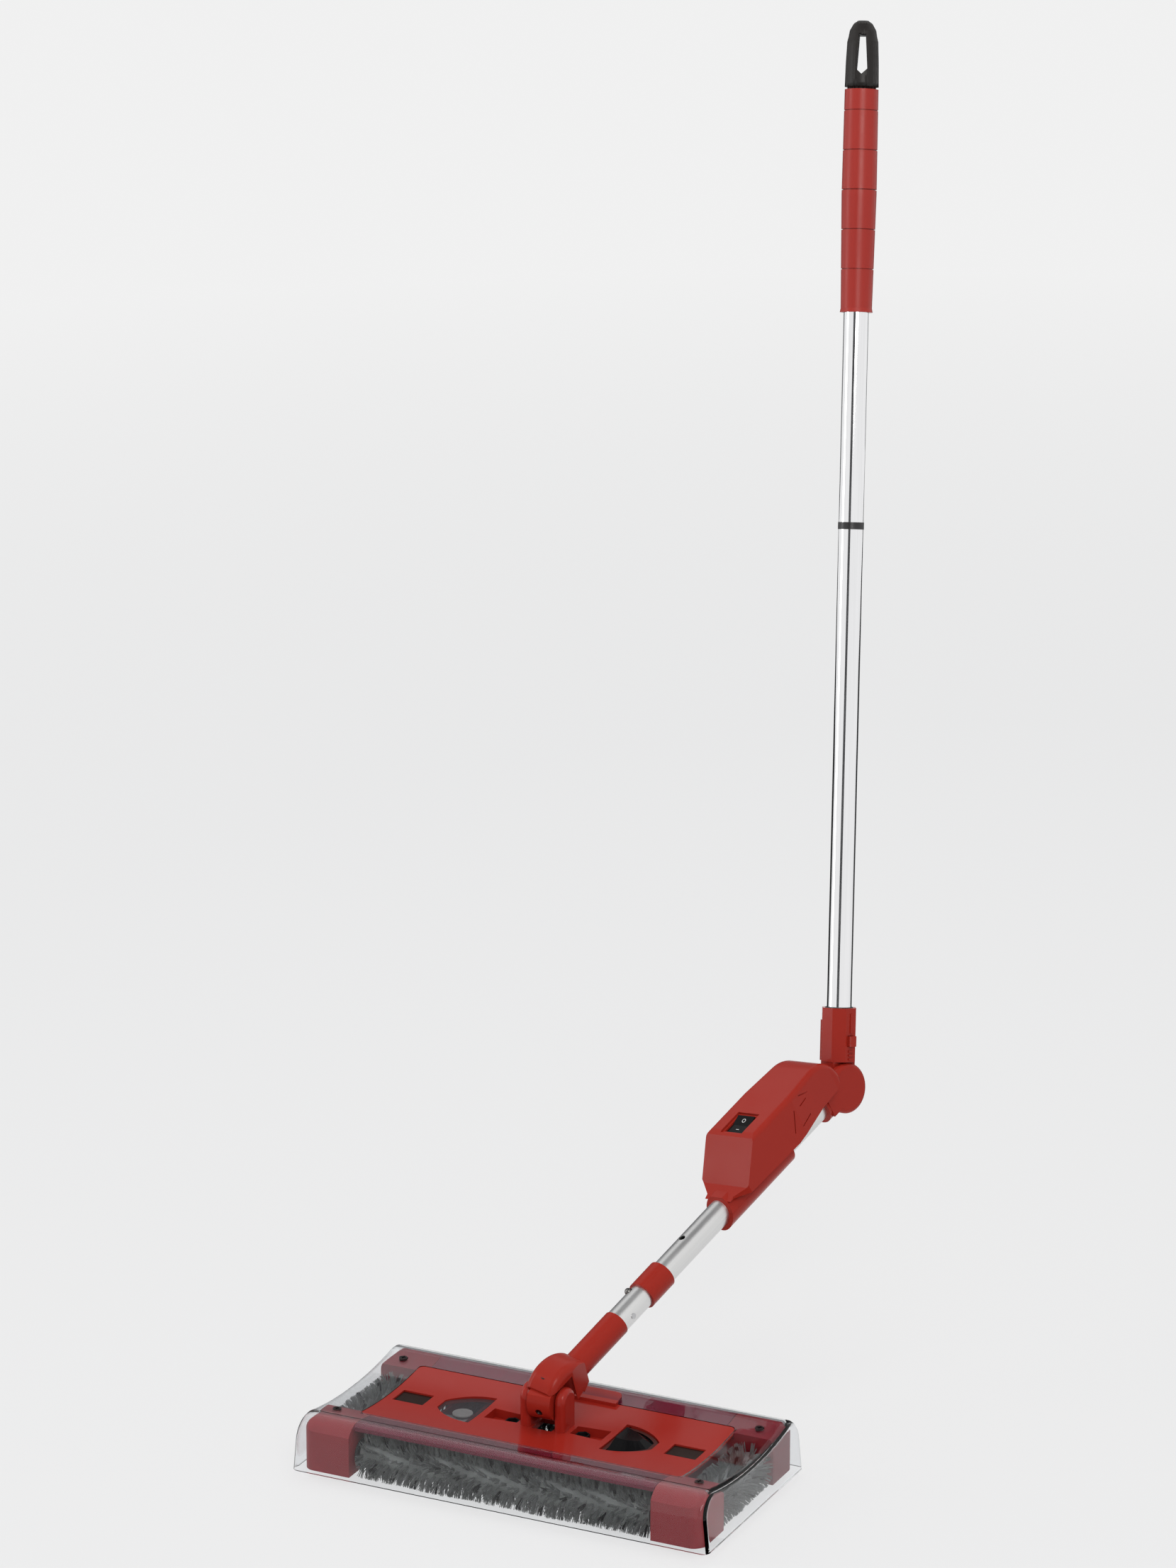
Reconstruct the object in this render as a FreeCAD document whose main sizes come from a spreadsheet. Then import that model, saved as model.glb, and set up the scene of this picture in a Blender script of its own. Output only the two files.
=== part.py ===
"""Cordless swivel carpet sweeper with a clear cover, four geared brushes and a folding pole.

Millimetres, +Z up. The origin is on the floor, under the middle of the head. The head's long axis is X,
its front is -Y, and the pole leaves it towards +Y. Every size is a cell of the spreadsheet "Sizes".
"""
import FreeCAD, Part
import math
import os

import Sketcher
from FreeCAD import Vector

doc = FreeCAD.newDocument("CarpetSweeper")
sheet = doc.addObject("Spreadsheet::Sheet", "Sizes")

# ---------------------------------------------------------------- sizes and formulas


class Size:
    """A number, with the spreadsheet formula that gives it."""

    def __init__(self, value, text):
        self.value = value
        self.text = text

    def __add__(self, other):
        other = as_size(other)
        return Size(self.value + other.value, f"({self.text} + {other.text})")

    def __sub__(self, other):
        other = as_size(other)
        return Size(self.value - other.value, f"({self.text} - {other.text})")

    def __mul__(self, other):
        other = as_size(other)
        return Size(self.value * other.value, f"({self.text} * {other.text})")

    def __truediv__(self, other):
        other = as_size(other)
        return Size(self.value / other.value, f"({self.text} / {other.text})")

    def __neg__(self):
        return Size(-self.value, f"(0 - {self.text})")

    def __radd__(self, other):
        return as_size(other) + self

    def __rsub__(self, other):
        return as_size(other) - self

    def __rmul__(self, other):
        return as_size(other) * self


def as_size(number):
    """A plain number becomes a Size with itself as its formula."""
    return number if isinstance(number, Size) else Size(float(number), f"({float(number)})")


def root(number):
    return Size(math.sqrt(number.value), f"sqrt({number.text})")


def cosine(degrees):
    return Size(math.cos(math.radians(degrees.value)), f"cos({degrees.text})")


def sine(degrees):
    return Size(math.sin(math.radians(degrees.value)), f"sin({degrees.text})")


def cell(alias, value, note):
    """Writes one size to the sheet, a number or a formula of earlier sizes, and gives it back."""
    row = len(sheet_rows) + 1
    sheet_rows.append(alias)
    number = as_size(value)
    text = "=" + number.text.replace("Sizes.", "") if isinstance(value, Size) else str(value)
    sheet.set(f"A{row}", alias)
    sheet.set(f"B{row}", text)
    sheet.set(f"C{row}", note)
    sheet.setAlias(f"B{row}", alias)
    return Size(number.value, f"Sizes.{alias}")


sheet_rows = []

# Clear cover
cover_length = cell("cover_length", 335, "clear cover, along X")
cover_width = cell("cover_width", 169, "clear cover, along Y")
cover_wall = cell("cover_wall", 2, "thickness of the clear cover")
cover_foot = cell("cover_foot", 6, "height of the cover's lower edge above the floor")
dip_height = cell("dip_height", 41, "lowest point of the saddle-shaped top")
saddle_radius = cell("saddle_radius", 325, "radius of the hollow top, seen from the end")
shoulder_radius = cell("shoulder_radius", 18, "rounding from the top to the long walls")
end_lean = cell("end_lean", 4.5, "how far each end wall leans in at the top")
end_round = cell("end_round", 6, "rounding from the top to the end walls")
opening_round = cell("opening_round", 4, "corner radius of the opening")
seat_gap = cell("seat_gap", 0.3, "gap between parts that sit against each other")

# Corner gearboxes
box_wall = cell("box_wall", 4.4, "gearbox wall that holds a bush")
box_end_x = cell("box_end_x", cover_length / 2 - 7.5, "outer face of the corner gearboxes, X")
box_end_y = cell("box_end_y", cover_width / 2 - 4.5, "outer face of the corner gearboxes, Y")
box_start_x = cell("box_start_x", box_end_x - 38.7, "inner face of the corner gearboxes, X")
box_start_y = cell("box_start_y", box_end_y - 37.4, "inner face of the corner gearboxes, Y")
box_floor = cell("box_floor", 7, "underside of the corner gearboxes")
box_top = cell("box_top", dip_height + 4, "top of the corner gearboxes")
opening_half_x = cell("opening_half_x", box_start_x + 8.2, "half the opening in the cover, X")
opening_half_y = cell("opening_half_y", box_start_y + 5.4, "half the opening in the cover, Y")

screw_x = cell("screw_x", box_end_x - 14, "cover screws, X")
screw_y = cell("screw_y", opening_half_y + 4, "cover screws, Y")
screw_seat = cell("screw_seat", box_top - 0.6, "underside of the screw heads")
screw_head = cell("screw_head", 3.2, "radius of a screw head")
screw_thick = cell("screw_thick", 1.7, "thickness of a screw head")
screw_radius = cell("screw_radius", 1.5, "screw shank")

# Red top plate
plate_wall = cell("plate_wall", 2.4, "thickness of the red mouldings")
rail_half_y = cell("rail_half_y", cover_width / 2 - 11.5, "half the plate's width, over the long brushes")
rail_half_x = cell("rail_half_x", box_start_x - 0.5, "half the plate's length between the corner boxes")
ear_inner = cell("ear_inner", 9.6, "inner face of each ear of the base joint, X")
ear_thick = cell("ear_thick", 8.6, "thickness of each ear")
ear_radius = cell("ear_radius", 10.4, "rounded top of each ear")
ear_round = cell("ear_round", 3.6, "rounding of the ears' edges")
pin_height = cell("pin_height", dip_height + 21, "tilt pin above the floor")
window_outer = cell("window_outer", rail_half_x + 2.2, "outer edge of the small dark windows, X")
window_inner = cell("window_inner", window_outer - 25, "inner edge of the small dark windows, X")
window_half_y = cell("window_half_y", 9.5, "half width of the small dark windows")
leaf_half = cell("leaf_half", 24, "half the straight side of the leaf-shaped openings")
leaf_reach = cell("leaf_reach", 38, "from the straight side to the tip")
leaf_gap = cell("leaf_gap", 7, "plate left between a leaf and a small window")
leaf_base = cell("leaf_base", window_inner - leaf_gap - leaf_reach, "straight side of the leaves, X")
pan_start = cell("pan_start", ear_inner + ear_thick + 3.3, "pockets beside the base joint, X")
pan_length = cell("pan_length", leaf_base - 5.5 - pan_start, "length of a pocket")
pan_half = cell("pan_half", 9, "half width of a pocket")
pan_hole = cell("pan_hole", 3.4, "radius of the hole in a pocket")
pan_drop = cell("pan_drop", 3.5, "how far a pocket hangs under the plate")
tab_half = cell("tab_half", 34, "half the raised tab behind the base joint, X")
tab_end = cell("tab_end", opening_half_y + 11, "rear edge of the raised tab")
pedal_pin = cell("pedal_pin", 1.1, "radius of the pedal's pins")
pedal_axis = cell("pedal_axis", dip_height - 1.8, "height of the pedal's pins")

# Brushes and their drive
run_gap = cell("run_gap", 0.05, "radial clearance of a shaft in its bush")
brush_y = cell("brush_y", box_end_y - 17.5, "axis of each long brush, Y")
side_x = cell("side_x", box_end_x - 15.5, "axis of each side brush, X")
axle_height = cell("axle_height", 20.5, "height of every brush axis")
long_reach = cell("long_reach", 19.3, "bristle radius of the long brushes")
side_reach = cell("side_reach", 18.2, "bristle radius of the side brushes")
core_radius = cell("core_radius", 10, "brush core")
long_half = cell("long_half", box_start_x - 3.8, "half length of a long brush")
side_half = cell("side_half", box_start_y - 1.6, "half length of a side brush")
shaft_radius = cell("shaft_radius", 2, "steel brush shafts")
bush_radius = cell("bush_radius", 4, "outside of a shaft bush")
tuft_foot = cell("tuft_foot", 1.6, "half width of a bristle tuft at the core")
tuft_flare = cell("tuft_flare", 1.7, "how much wider a tuft is at its tip")
gear_pitch = cell("gear_pitch", 8, "pitch radius of the bevel gears, at their large end")
gear_face = cell("gear_face", 4, "length of a bevel gear along its axis")
gear_teeth = cell("gear_teeth", 12, "teeth of a bevel gear")
gear_rise = cell("gear_rise", 0.8, "tooth height above the pitch circle")
gear_drop = cell("gear_drop", 1.15, "tooth depth below the pitch circle")
gear_play = cell("gear_play", 0.35, "backlash between two bevel gears")

# Lower frame, dirt tray, glides
frame_half_x = cell("frame_half_x", box_start_x + 3.2, "half the lower frame, X")
frame_half_y = cell("frame_half_y", box_start_y - seat_gap, "half the lower frame, Y")
frame_top = cell("frame_top", dip_height - 5, "top of the lower frame")
throat_top = cell("throat_top", frame_top - 9, "top of the slots that the dirt is swept through")
tray_half_x = cell("tray_half_x", frame_half_x - 12.5, "half the dirt tray, X")
tray_half_y = cell("tray_half_y", frame_half_y - 3.9, "half the dirt tray, Y")
tray_floor = cell("tray_floor", 4.5, "underside of the tray")
tray_top = cell("tray_top", 15, "rim of the tray")
tray_wall = cell("tray_wall", 1.6, "wall of the tray")
hinge_y = cell("hinge_y", tray_half_y - 3.4, "tray hinge, Y")
hinge_z = cell("hinge_z", tray_floor + 4, "tray hinge, height")
hinge_pin = cell("hinge_pin", 2, "radius of the tray's hinge stubs")
glide_radius = cell("glide_radius", 7, "floor glides")
glide_x = cell("glide_x", side_x - 3.5, "floor glides, X")
glide_y = cell("glide_y", brush_y - 1.5, "floor glides, Y")

# Motor and belt
motor_y = cell("motor_y", -6, "motor axis, Y")
motor_z = cell("motor_z", axle_height + 5.1, "motor axis, height")
motor_radius = cell("motor_radius", 10, "motor can")
motor_start = cell("motor_start", leaf_base + 3, "inner end of the motor, X")
motor_length = cell("motor_length", 32, "motor can length")
pulley_x = cell("pulley_x", box_start_x - 2, "plane of the belt, X")
pulley_width = cell("pulley_width", 2.2, "width of the pulleys")
small_pulley = cell("small_pulley", 4, "belt radius on the motor")
large_pulley = cell("large_pulley", 9, "belt radius on the brush")
belt_thick = cell("belt_thick", 1, "belt thickness")

# Base joint
base_tilt_angle = cell("base_tilt_angle", 23.9, "pole above level, degrees")
base_swing_angle = cell("base_swing_angle", 13.5, "pole towards +X, degrees")
swivel_offset = cell("swivel_offset", 3, "swivel axis beyond the tilt pin")
block_half = cell("block_half", ear_inner - seat_gap, "half width of the joint block")
block_radius = cell("block_radius", 15.5, "round front of the joint block")
block_flat = cell("block_flat", 11.7, "flats of the block, above and below the axis")
arch_radius = cell("arch_radius", 19.5, "hollow of the fork, round the swivel axis")
hood_half = cell("hood_half", 13, "half width of the fork")
hood_top = cell("hood_top", 21, "top of the fork above the pole axis")
hood_peak = cell("hood_peak", 8, "highest place of the hood, from the swivel axis")
brow_drop = cell("brow_drop", 7.6, "how far the hood falls towards its front edge")
hood_round = cell("hood_round", 6, "rounding of the hood's long edges")
leg_bottom = cell("leg_bottom", 18, "bottom of the fork below the pole axis")
leg_half = cell("leg_half", 5.2, "half width of the fork's lower leg")
leg_front = cell("leg_front", 7.5, "front of the lower leg before the swivel axis")
fork_front = cell("fork_front", 9.5, "front of the fork before the swivel axis")
shank_start = cell("shank_start", 32, "where the fork has narrowed to the shank")
pin_radius = cell("pin_radius", 2.5, "steel pins of the base joint")
pin_cover = cell("pin_cover", 2, "plastic left over the end of a hidden pin")

# Lower pole, distances from the swivel axis
shank_radius = cell("shank_radius", 10.3, "red shank")
shank_end = cell("shank_end", 82, "end of the shank")
tube_radius = cell("tube_radius", 9.5, "outside of every tube")
tube_wall = cell("tube_wall", 1, "tube wall")
spigot_length = cell("spigot_length", 15, "how far a plug reaches into its tube")
collar_radius = cell("collar_radius", 11.3, "red collar")
collar_start = cell("collar_start", 113.5, "lower end of the collar")
collar_end = cell("collar_end", 139, "upper end of the collar")
tube_joint = cell("tube_joint", 126, "where the two lower tubes meet")
button_at = cell("button_at", 107.5, "snap button")
button_radius = cell("button_radius", 3, "snap button")
hole_at = cell("hole_at", 170, "spare snap hole")
pole_roll_angle = cell("pole_roll_angle", 17, "upper parts turned about the lower tube, degrees")

# Battery housing, distances along the tube and above its axis
housing_front = cell("housing_front", 207, "lower tip of the clasp")
housing_nose = cell("housing_nose", 215, "lower front edge of the shell")
housing_brow = cell("housing_brow", 251.5, "upper front edge")
housing_half = cell("housing_half", 24.5, "half width at the front")
tail_half = cell("tail_half", 20, "half width at the elbow")
housing_top = cell("housing_top", 43, "top above the tube axis")
housing_hem = cell("housing_hem", 9, "lower side edge above the tube axis")
housing_wall = cell("housing_wall", 2.4, "wall")
housing_round = cell("housing_round", 4, "rounding of the top's edges")
tail_end = cell("tail_end", 356.5, "round tail over the elbow")
tail_round = cell("tail_round", 24.5, "radius of the tail's hump")
clasp_radius = cell("clasp_radius", 13.4, "outside of the clasp under the tube")
clasp_end = cell("clasp_end", 290, "upper end of the clasp")
switch_at = cell("switch_at", 265.8, "middle of the rocker switch")
switch_length = cell("switch_length", 23.4, "opening for the switch, along the pole")
switch_half = cell("switch_half", 11, "half the opening for the switch, across")
switch_deep = cell("switch_deep", 9, "depth of the opening for the switch")
rocker_lean_angle = cell("rocker_lean_angle", 8, "how far the rocker leans when off, degrees")
rocker_pin = cell("rocker_pin", 1, "radius of the rocker's pivots")
socket_bore = cell("socket_bore", 2.8, "bore of the charging socket")
socket_deep = cell("socket_deep", 9, "depth of the charging socket")

# Elbow and upper pole, distances from the elbow pin
elbow_at = cell("elbow_at", 364.4, "elbow pin from the swivel axis")
elbow_bend_angle = cell("elbow_bend_angle", 54.6, "upper pole against the lower tube, degrees")
elbow_pin = cell("elbow_pin", 3, "radius of the elbow pin")
cheek_radius = cell("cheek_radius", 19.3, "round of each fixed cheek")
cheek_outer = cell("cheek_outer", 13.2, "outer face of each cheek")
cheek_side = cell("cheek_side", 0.3, "gap between the knuckle and each cheek")
knuckle_half = cell("knuckle_half", 6.6, "half width of the moving knuckle")
knuckle_radius = cell("knuckle_radius", 18, "round of the moving knuckle")
flange_radius = cell("flange_radius", 13, "ring round the end of the tube")
flange_gap = cell("flange_gap", 22, "upper face of the ring before the elbow pin")
flange_length = cell("flange_length", 5, "length of the ring")
socket_start = cell("socket_start", 20, "lower end of the socket")
socket_end = cell("socket_end", 61, "rim of the socket")
socket_radius = cell("socket_radius", 12.8, "socket, across its flats")
latch_at = cell("latch_at", 36, "latch button on the socket")
ring_at = cell("ring_at", 428, "black joint ring")
ring_half = cell("ring_half", 2.7, "half the height of the joint ring")
grip_start = cell("grip_start", 590, "lower end of the grip")
grip_end = cell("grip_end", 758.5, "upper end of the grip")
grip_radius = cell("grip_radius", 13.3, "grip")
grip_seat = cell("grip_seat", 20, "how far the top tube reaches into the grip")
groove_step = cell("groove_step", 30, "distance between the grip's ring grooves")
cap_start = cell("cap_start", grip_end + 2, "lower end of the hanging cap")
cap_length = cell("cap_length", 50, "length of the hanging cap")
cap_end = cell("cap_end", cap_start + cap_length, "tip of the hanging cap")
cap_turn_angle = cell("cap_turn_angle", 41, "cap turned about the pole, degrees")
cap_radius = cell("cap_radius", 12.9, "hanging cap")

doc.recompute()

# ---------------------------------------------------------------- modelling helpers

nodes = {}
own_places = {}
X_AXIS = (0, 1, 0, 90)
Y_AXIS = (1, 0, 0, -90)
Z_AXIS = (0, 0, 1, 0)


def formula(number):
    return as_size(number).text


def bind(thing, **sizes):
    """Binds properties of an object to formulas."""
    for name, number in sizes.items():
        thing.setExpression(name, formula(number))


def place_text(at=(0, 0, 0), turn=Z_AXIS):
    """The formula of a placement: a place, and a turn given as an axis and degrees."""
    x, y, z = (formula(v) for v in at)
    ax, ay, az, degrees = turn
    spot = f"create(<<vector>>; {x}; {y}; {z})"
    axis = f"create(<<vector>>; {ax}; {ay}; {az})"
    return f"create(<<placement>>; {spot}; create(<<rotation>>; {axis}; {formula(degrees)}))"


def place(thing, at=(0, 0, 0), turn=Z_AXIS, frame=None):
    """Places an object in a frame, with a formula."""
    text = place_text(at, turn)
    own_places[thing.Name] = (at, turn)
    thing.setExpression("Placement", f"{frame.Name}.Placement * {text}" if frame else text)
    return thing


def frame_at(name, parent, at=(0, 0, 0), turn=Z_AXIS):
    """A named frame that sub-parts are placed in."""
    return place(doc.addObject("App::Placement", name), at, turn, parent)


def box(name, low, high, turn=Z_AXIS):
    """A box between two corners."""
    thing = doc.addObject("Part::Box", name)
    bind(thing, Length=high[0] - as_size(low[0]), Width=high[1] - as_size(low[1]))
    bind(thing, Height=high[2] - as_size(low[2]))
    return place(thing, low, turn)


def rod(name, radius, start, length, turn=Z_AXIS):
    """A cylinder from a start point, along the axis that the turn gives."""
    thing = doc.addObject("Part::Cylinder", name)
    bind(thing, Radius=radius, Height=length)
    return place(thing, start, turn)


def cone(name, radius_from, radius_to, start, length, turn=Z_AXIS):
    thing = doc.addObject("Part::Cone", name)
    bind(thing, Radius1=radius_from, Radius2=radius_to, Height=length)
    return place(thing, start, turn)


def fuse(name, pieces):
    thing = doc.addObject("Part::MultiFuse", name)
    thing.Shapes = pieces
    thing.Refine = True
    return thing


def common(name, pieces):
    thing = doc.addObject("Part::MultiCommon", name)
    thing.Shapes = pieces
    return thing


def cut(name, base, tools):
    thing = doc.addObject("Part::Cut", name)
    thing.Base = base
    thing.Tool = tools[0] if len(tools) == 1 else fuse(name + "_tools", tools)
    return thing


def node(name, thing, frame=None):
    """Names a finished sub-part, and places it in its frame."""
    thing.Label = name
    if frame:
        at, turn = own_places.get(thing.Name, ((0, 0, 0), Z_AXIS))
        place(thing, at, turn, frame)
    nodes[name] = thing
    return thing


class Piece:
    """A PartDesign body that is built from sketches."""

    def __init__(self, name):
        self.name = name
        self.body = doc.addObject("PartDesign::Body", name)
        self.count = 0

    def sketch(self, plane, offset=0):
        """A sketch on one of the body's own planes, moved along that plane's normal."""
        self.count += 1
        drawing = self.body.newObject("Sketcher::SketchObject", f"{self.name}_sketch{self.count}")
        origin = [f for f in self.body.Origin.OriginFeatures if f.Role == plane][0]
        drawing.AttachmentSupport = [(origin, "")]
        drawing.MapMode = "FlatFace"
        drawing.setExpression("AttachmentOffset.Base.z", formula(offset))
        return drawing

    def feature(self, kind, drawing):
        self.count += 1
        made = self.body.newObject("PartDesign::" + kind, f"{self.name}_{kind.lower()}{self.count}")
        if drawing:
            made.Profile = drawing
        return made

    def pad(self, drawing, length, both=False, back=False):
        made = self.feature("Pad", drawing)
        bind(made, Length=length)
        if both:
            made.Midplane = True
        made.Reversed = back
        return made

    def pocket(self, drawing, length, both=False, back=False):
        made = self.feature("Pocket", drawing)
        bind(made, Length=length)
        if both:
            made.Midplane = True
        made.Reversed = back
        return made

    def revolve(self, drawing, kind="Revolution"):
        """Turns a drawing about the vertical axis of its own plane."""
        made = self.feature(kind, drawing)
        made.ReferenceAxis = (drawing, ["V_Axis"])
        made.Angle = 360
        return made

    def fillet(self, radius, chosen):
        """Rounds the edges that the function chooses."""
        doc.recompute()
        tip = self.body.Tip
        names = [f"Edge{i + 1}" for i, edge in enumerate(tip.Shape.Edges) if chosen(edge)]
        made = self.feature("Fillet", None)
        made.Base = (tip, names)
        bind(made, Radius=radius)
        self.body.Tip = made
        return made


def spot(point):
    return Vector(as_size(point[0]).value, as_size(point[1]).value, 0)


def fix(drawing, index, end, point):
    """Fixes one end of a line or arc at a point that the sheet drives."""
    for kind, number in (("DistanceX", point[0]), ("DistanceY", point[1])):
        number = as_size(number)
        row = drawing.addConstraint(Sketcher.Constraint(kind, -1, 1, index, end, number.value))
        drawing.setExpression(f"Constraints[{row}]", number.text)


def outline(drawing, corners, bulges=None):
    """A closed outline. A side named in bulges is an arc of that radius, bowed to its left
    where the radius is positive and to its right where it is negative."""
    bulges = bulges or {}
    count = len(corners)
    first = drawing.GeometryCount
    ends = []
    for i, corner in enumerate(corners):
        start, end = spot(corner), spot(corners[(i + 1) % count])
        if i not in bulges:
            drawing.addGeometry(Part.LineSegment(start, end), False)
            ends.append((1, 2))
            continue
        radius = as_size(bulges[i]).value
        chord = end - start
        left = Vector(-chord.y, chord.x, 0).normalize()
        depth = math.sqrt(max(radius * radius - chord.Length ** 2 / 4, 0))
        centre = (start + end) * 0.5 - left * math.copysign(depth, radius)
        whole = Part.Circle(centre, Vector(0, 0, 1), abs(radius))
        from_point, to_point = (end, start) if radius > 0 else (start, end)
        angles = [math.atan2(p.y - centre.y, p.x - centre.x) for p in (from_point, to_point)]
        if angles[1] < angles[0]:
            angles[1] += 2 * math.pi
        drawing.addGeometry(Part.ArcOfCircle(whole, *angles), False)
        ends.append((2, 1) if radius > 0 else (1, 2))
    for i, corner in enumerate(corners):
        following = (i + 1) % count
        drawing.addConstraint(Sketcher.Constraint(
            "Coincident", first + i, ends[i][1], first + following, ends[following][0]))
    for i, corner in enumerate(corners):
        fix(drawing, first + i, ends[i][0], corner)
    for i, radius in bulges.items():
        size = as_size(radius)
        row = drawing.addConstraint(Sketcher.Constraint("Radius", first + i, abs(size.value)))
        drawing.setExpression(f"Constraints[{row}]", f"abs({size.text})")
    return drawing


def rectangle(drawing, low, high):
    return outline(drawing, [low, (high[0], low[1]), high, (low[0], high[1])])


def circle(drawing, centre, radius):
    radius = as_size(radius)
    middle = spot(centre)
    index = drawing.addGeometry(Part.Circle(middle, Vector(0, 0, 1), radius.value), False)
    fix(drawing, index, 3, centre)
    row = drawing.addConstraint(Sketcher.Constraint("Radius", index, radius.value))
    drawing.setExpression(f"Constraints[{row}]", radius.text)
    return drawing


def edge_middle(edge):
    return edge.valueAt((edge.FirstParameter + edge.LastParameter) / 2)


def runs_along(edge, axis):
    """True for a straight edge along X, Y or Z (0, 1 or 2)."""
    if not isinstance(edge.Curve, (Part.Line, Part.LineSegment)):
        return False
    way = edge.tangentAt(edge.FirstParameter)
    return abs(way[axis]) > 0.999


# ---------------------------------------------------------------- clear cover

half_length = cover_length / 2
half_width = cover_width / 2
saddle_centre = dip_height + saddle_radius
shoulder_y = half_width - shoulder_radius
shoulder_reach = saddle_radius + shoulder_radius
shoulder_drop = root(shoulder_reach * shoulder_reach - shoulder_y * shoulder_y)
shoulder_z = saddle_centre - shoulder_drop


def saddle_height(y, radius):
    """Height at y of the hollow arc of this radius round the saddle's centre."""
    return saddle_centre - root(radius * radius - y * y)


def saddle_strip(drawing, half_y, radius, thickness):
    """The end profile of a strip that follows the hollow top."""
    low = radius + thickness
    return outline(drawing, [(-half_y, saddle_height(half_y, low)), (half_y, saddle_height(half_y, low)),
                             (half_y, saddle_height(half_y, radius)),
                             (-half_y, saddle_height(half_y, radius))], {0: -low, 2: radius})


def cover_profile(drawing, wall, foot):
    """The end profile: hollow top and round shoulders, this far inside the outer surface."""
    low, round_part = saddle_radius + wall, shoulder_radius - wall
    share = low / shoulder_reach
    touch_y, touch_z = shoulder_y * share, saddle_centre - shoulder_drop * share
    half = half_width - wall
    return outline(drawing, [
        (-half, foot), (half, foot), (half, shoulder_z), (touch_y, touch_z), (-touch_y, touch_z),
        (-half, shoulder_z)], {2: -round_part, 3: low, 4: -round_part})


def cover_form(name, wall, foot):
    """The outside of the cover, or the space inside it: a long profile with leaning ends."""
    form = Piece(name)
    form.pad(cover_profile(form.sketch("YZ_Plane"), wall, foot), cover_length, both=True)
    wedges = form.sketch("XZ_Plane")
    top = saddle_height(half_width, saddle_radius)
    low_end, high_end, reach = half_length - wall, half_length - end_lean - wall, half_length + 10
    for side in (1, -1):
        outline(wedges, [(side * low_end, foot), (side * reach, foot), (side * reach, top),
                         (side * high_end, top)])
    form.pocket(wedges, cover_width + 10, both=True)
    return form


def make_cover():
    """One transparent moulding: hollow top, round shoulders, leaning ends, open underneath."""
    cover = cover_form("cover_body", as_size(0), cover_foot)
    cover.fillet(end_round, lambda e: abs(edge_middle(e).x) > half_length.value - 8
                 and edge_middle(e).z > cover_foot.value + 1)
    window = rectangle(cover.sketch("XY_Plane", dip_height - 15),
                       (-opening_half_x, -opening_half_y), (opening_half_x, opening_half_y))
    cover.pocket(window, 40, back=True)
    cover.fillet(opening_round, lambda e: runs_along(e, 2)
                 and abs(abs(edge_middle(e).x) - opening_half_x.value) < 0.01
                 and abs(abs(edge_middle(e).y) - opening_half_y.value) < 0.01)
    for radius, height in ((screw_head + seat_gap, screw_seat), (screw_radius + 0.2, screw_seat - 5)):
        holes = cover.sketch("XY_Plane", height)
        for side in (1, -1):
            for end in (1, -1):
                circle(holes, (side * screw_x, end * screw_y), radius)
        cover.pocket(holes, 10, back=True)
    space = cover_form("cover_space", cover_wall, cover_foot - 1)
    node("clear_cover", cut("cover_cut", cover.body, [space.body]))


make_cover()

# ---------------------------------------------------------------- top plate


def leaf(name, side, gap, low, high):
    """A leaf-shaped prism: a straight side towards the middle and two arcs that meet in a blunt tip."""
    off_centre = (leaf_reach * leaf_reach - leaf_half * leaf_half) / (2 * leaf_half)
    radius = leaf_half + off_centre - gap
    base_x = side * leaf_base
    discs = [rod(f"{name}_disc{i}", radius, (base_x, sign * off_centre, low), high - as_size(low))
             for i, sign in enumerate((1, -1))]
    near = leaf_base + gap
    far = leaf_base + leaf_reach - 4 - gap
    ends = (near, far) if side > 0 else (-far, -near)
    keep = box(f"{name}_keep", (ends[0], -leaf_half - 1, low), (ends[1], leaf_half + 1, high))
    return common(name, discs + [keep])


plate_radius = saddle_radius + seat_gap
plate_half_x = opening_half_x - seat_gap
plate_half_y = opening_half_y - seat_gap
plate_underside = saddle_centre - (plate_radius + plate_wall + cover_wall)


def rail_profile(drawing):
    """The end profile of the rails: under the hollow top, then down inside the cover's shoulders."""
    ends = []
    for radius in (saddle_radius + cover_wall + seat_gap, saddle_radius + cover_wall + seat_gap + plate_wall):
        small = shoulder_reach - radius
        outside = rail_half_y - shoulder_y
        edge_z = shoulder_z + root(small * small - outside * outside)
        share = radius / shoulder_reach
        ends.append((radius, small, shoulder_y * share, saddle_centre - shoulder_drop * share, edge_z))
    high, low = ends
    return outline(drawing, [
        (-rail_half_y, low[4]), (-low[2], low[3]), (low[2], low[3]), (rail_half_y, low[4]),
        (rail_half_y, high[4]), (high[2], high[3]), (-high[2], high[3]), (-rail_half_y, high[4])],
        {0: low[1], 1: -low[0], 2: low[1], 4: -high[1], 5: high[0], 6: -high[1]})


def make_ear(side):
    """One ear of the base joint: an upright post with a round top and rounded edges."""
    ear = Piece("ear_right" if side > 0 else "ear_left")
    drawing = ear.sketch("YZ_Plane", side * (ear_inner + ear_thick / 2))
    outline(drawing, [(-ear_radius, dip_height - 3), (ear_radius, dip_height - 3), (ear_radius, pin_height),
                      (-ear_radius, pin_height)], {2: -ear_radius - 0.001})
    ear.pad(drawing, ear_thick, both=True)
    ear.fillet(ear_round, lambda e: edge_middle(e).z > dip_height.value
               and not runs_along(e, 0))
    return ear.body


def make_pan(side):
    """The tub of a pocket beside the base joint, under the plate."""
    tub = Piece("pan_right" if side > 0 else "pan_left")
    rim = tub.sketch("XY_Plane", plate_underside - pan_drop)
    pan_outline(rim, side, plate_wall / 2)
    tub.pad(rim, pan_drop + 1)
    return tub.body


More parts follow.
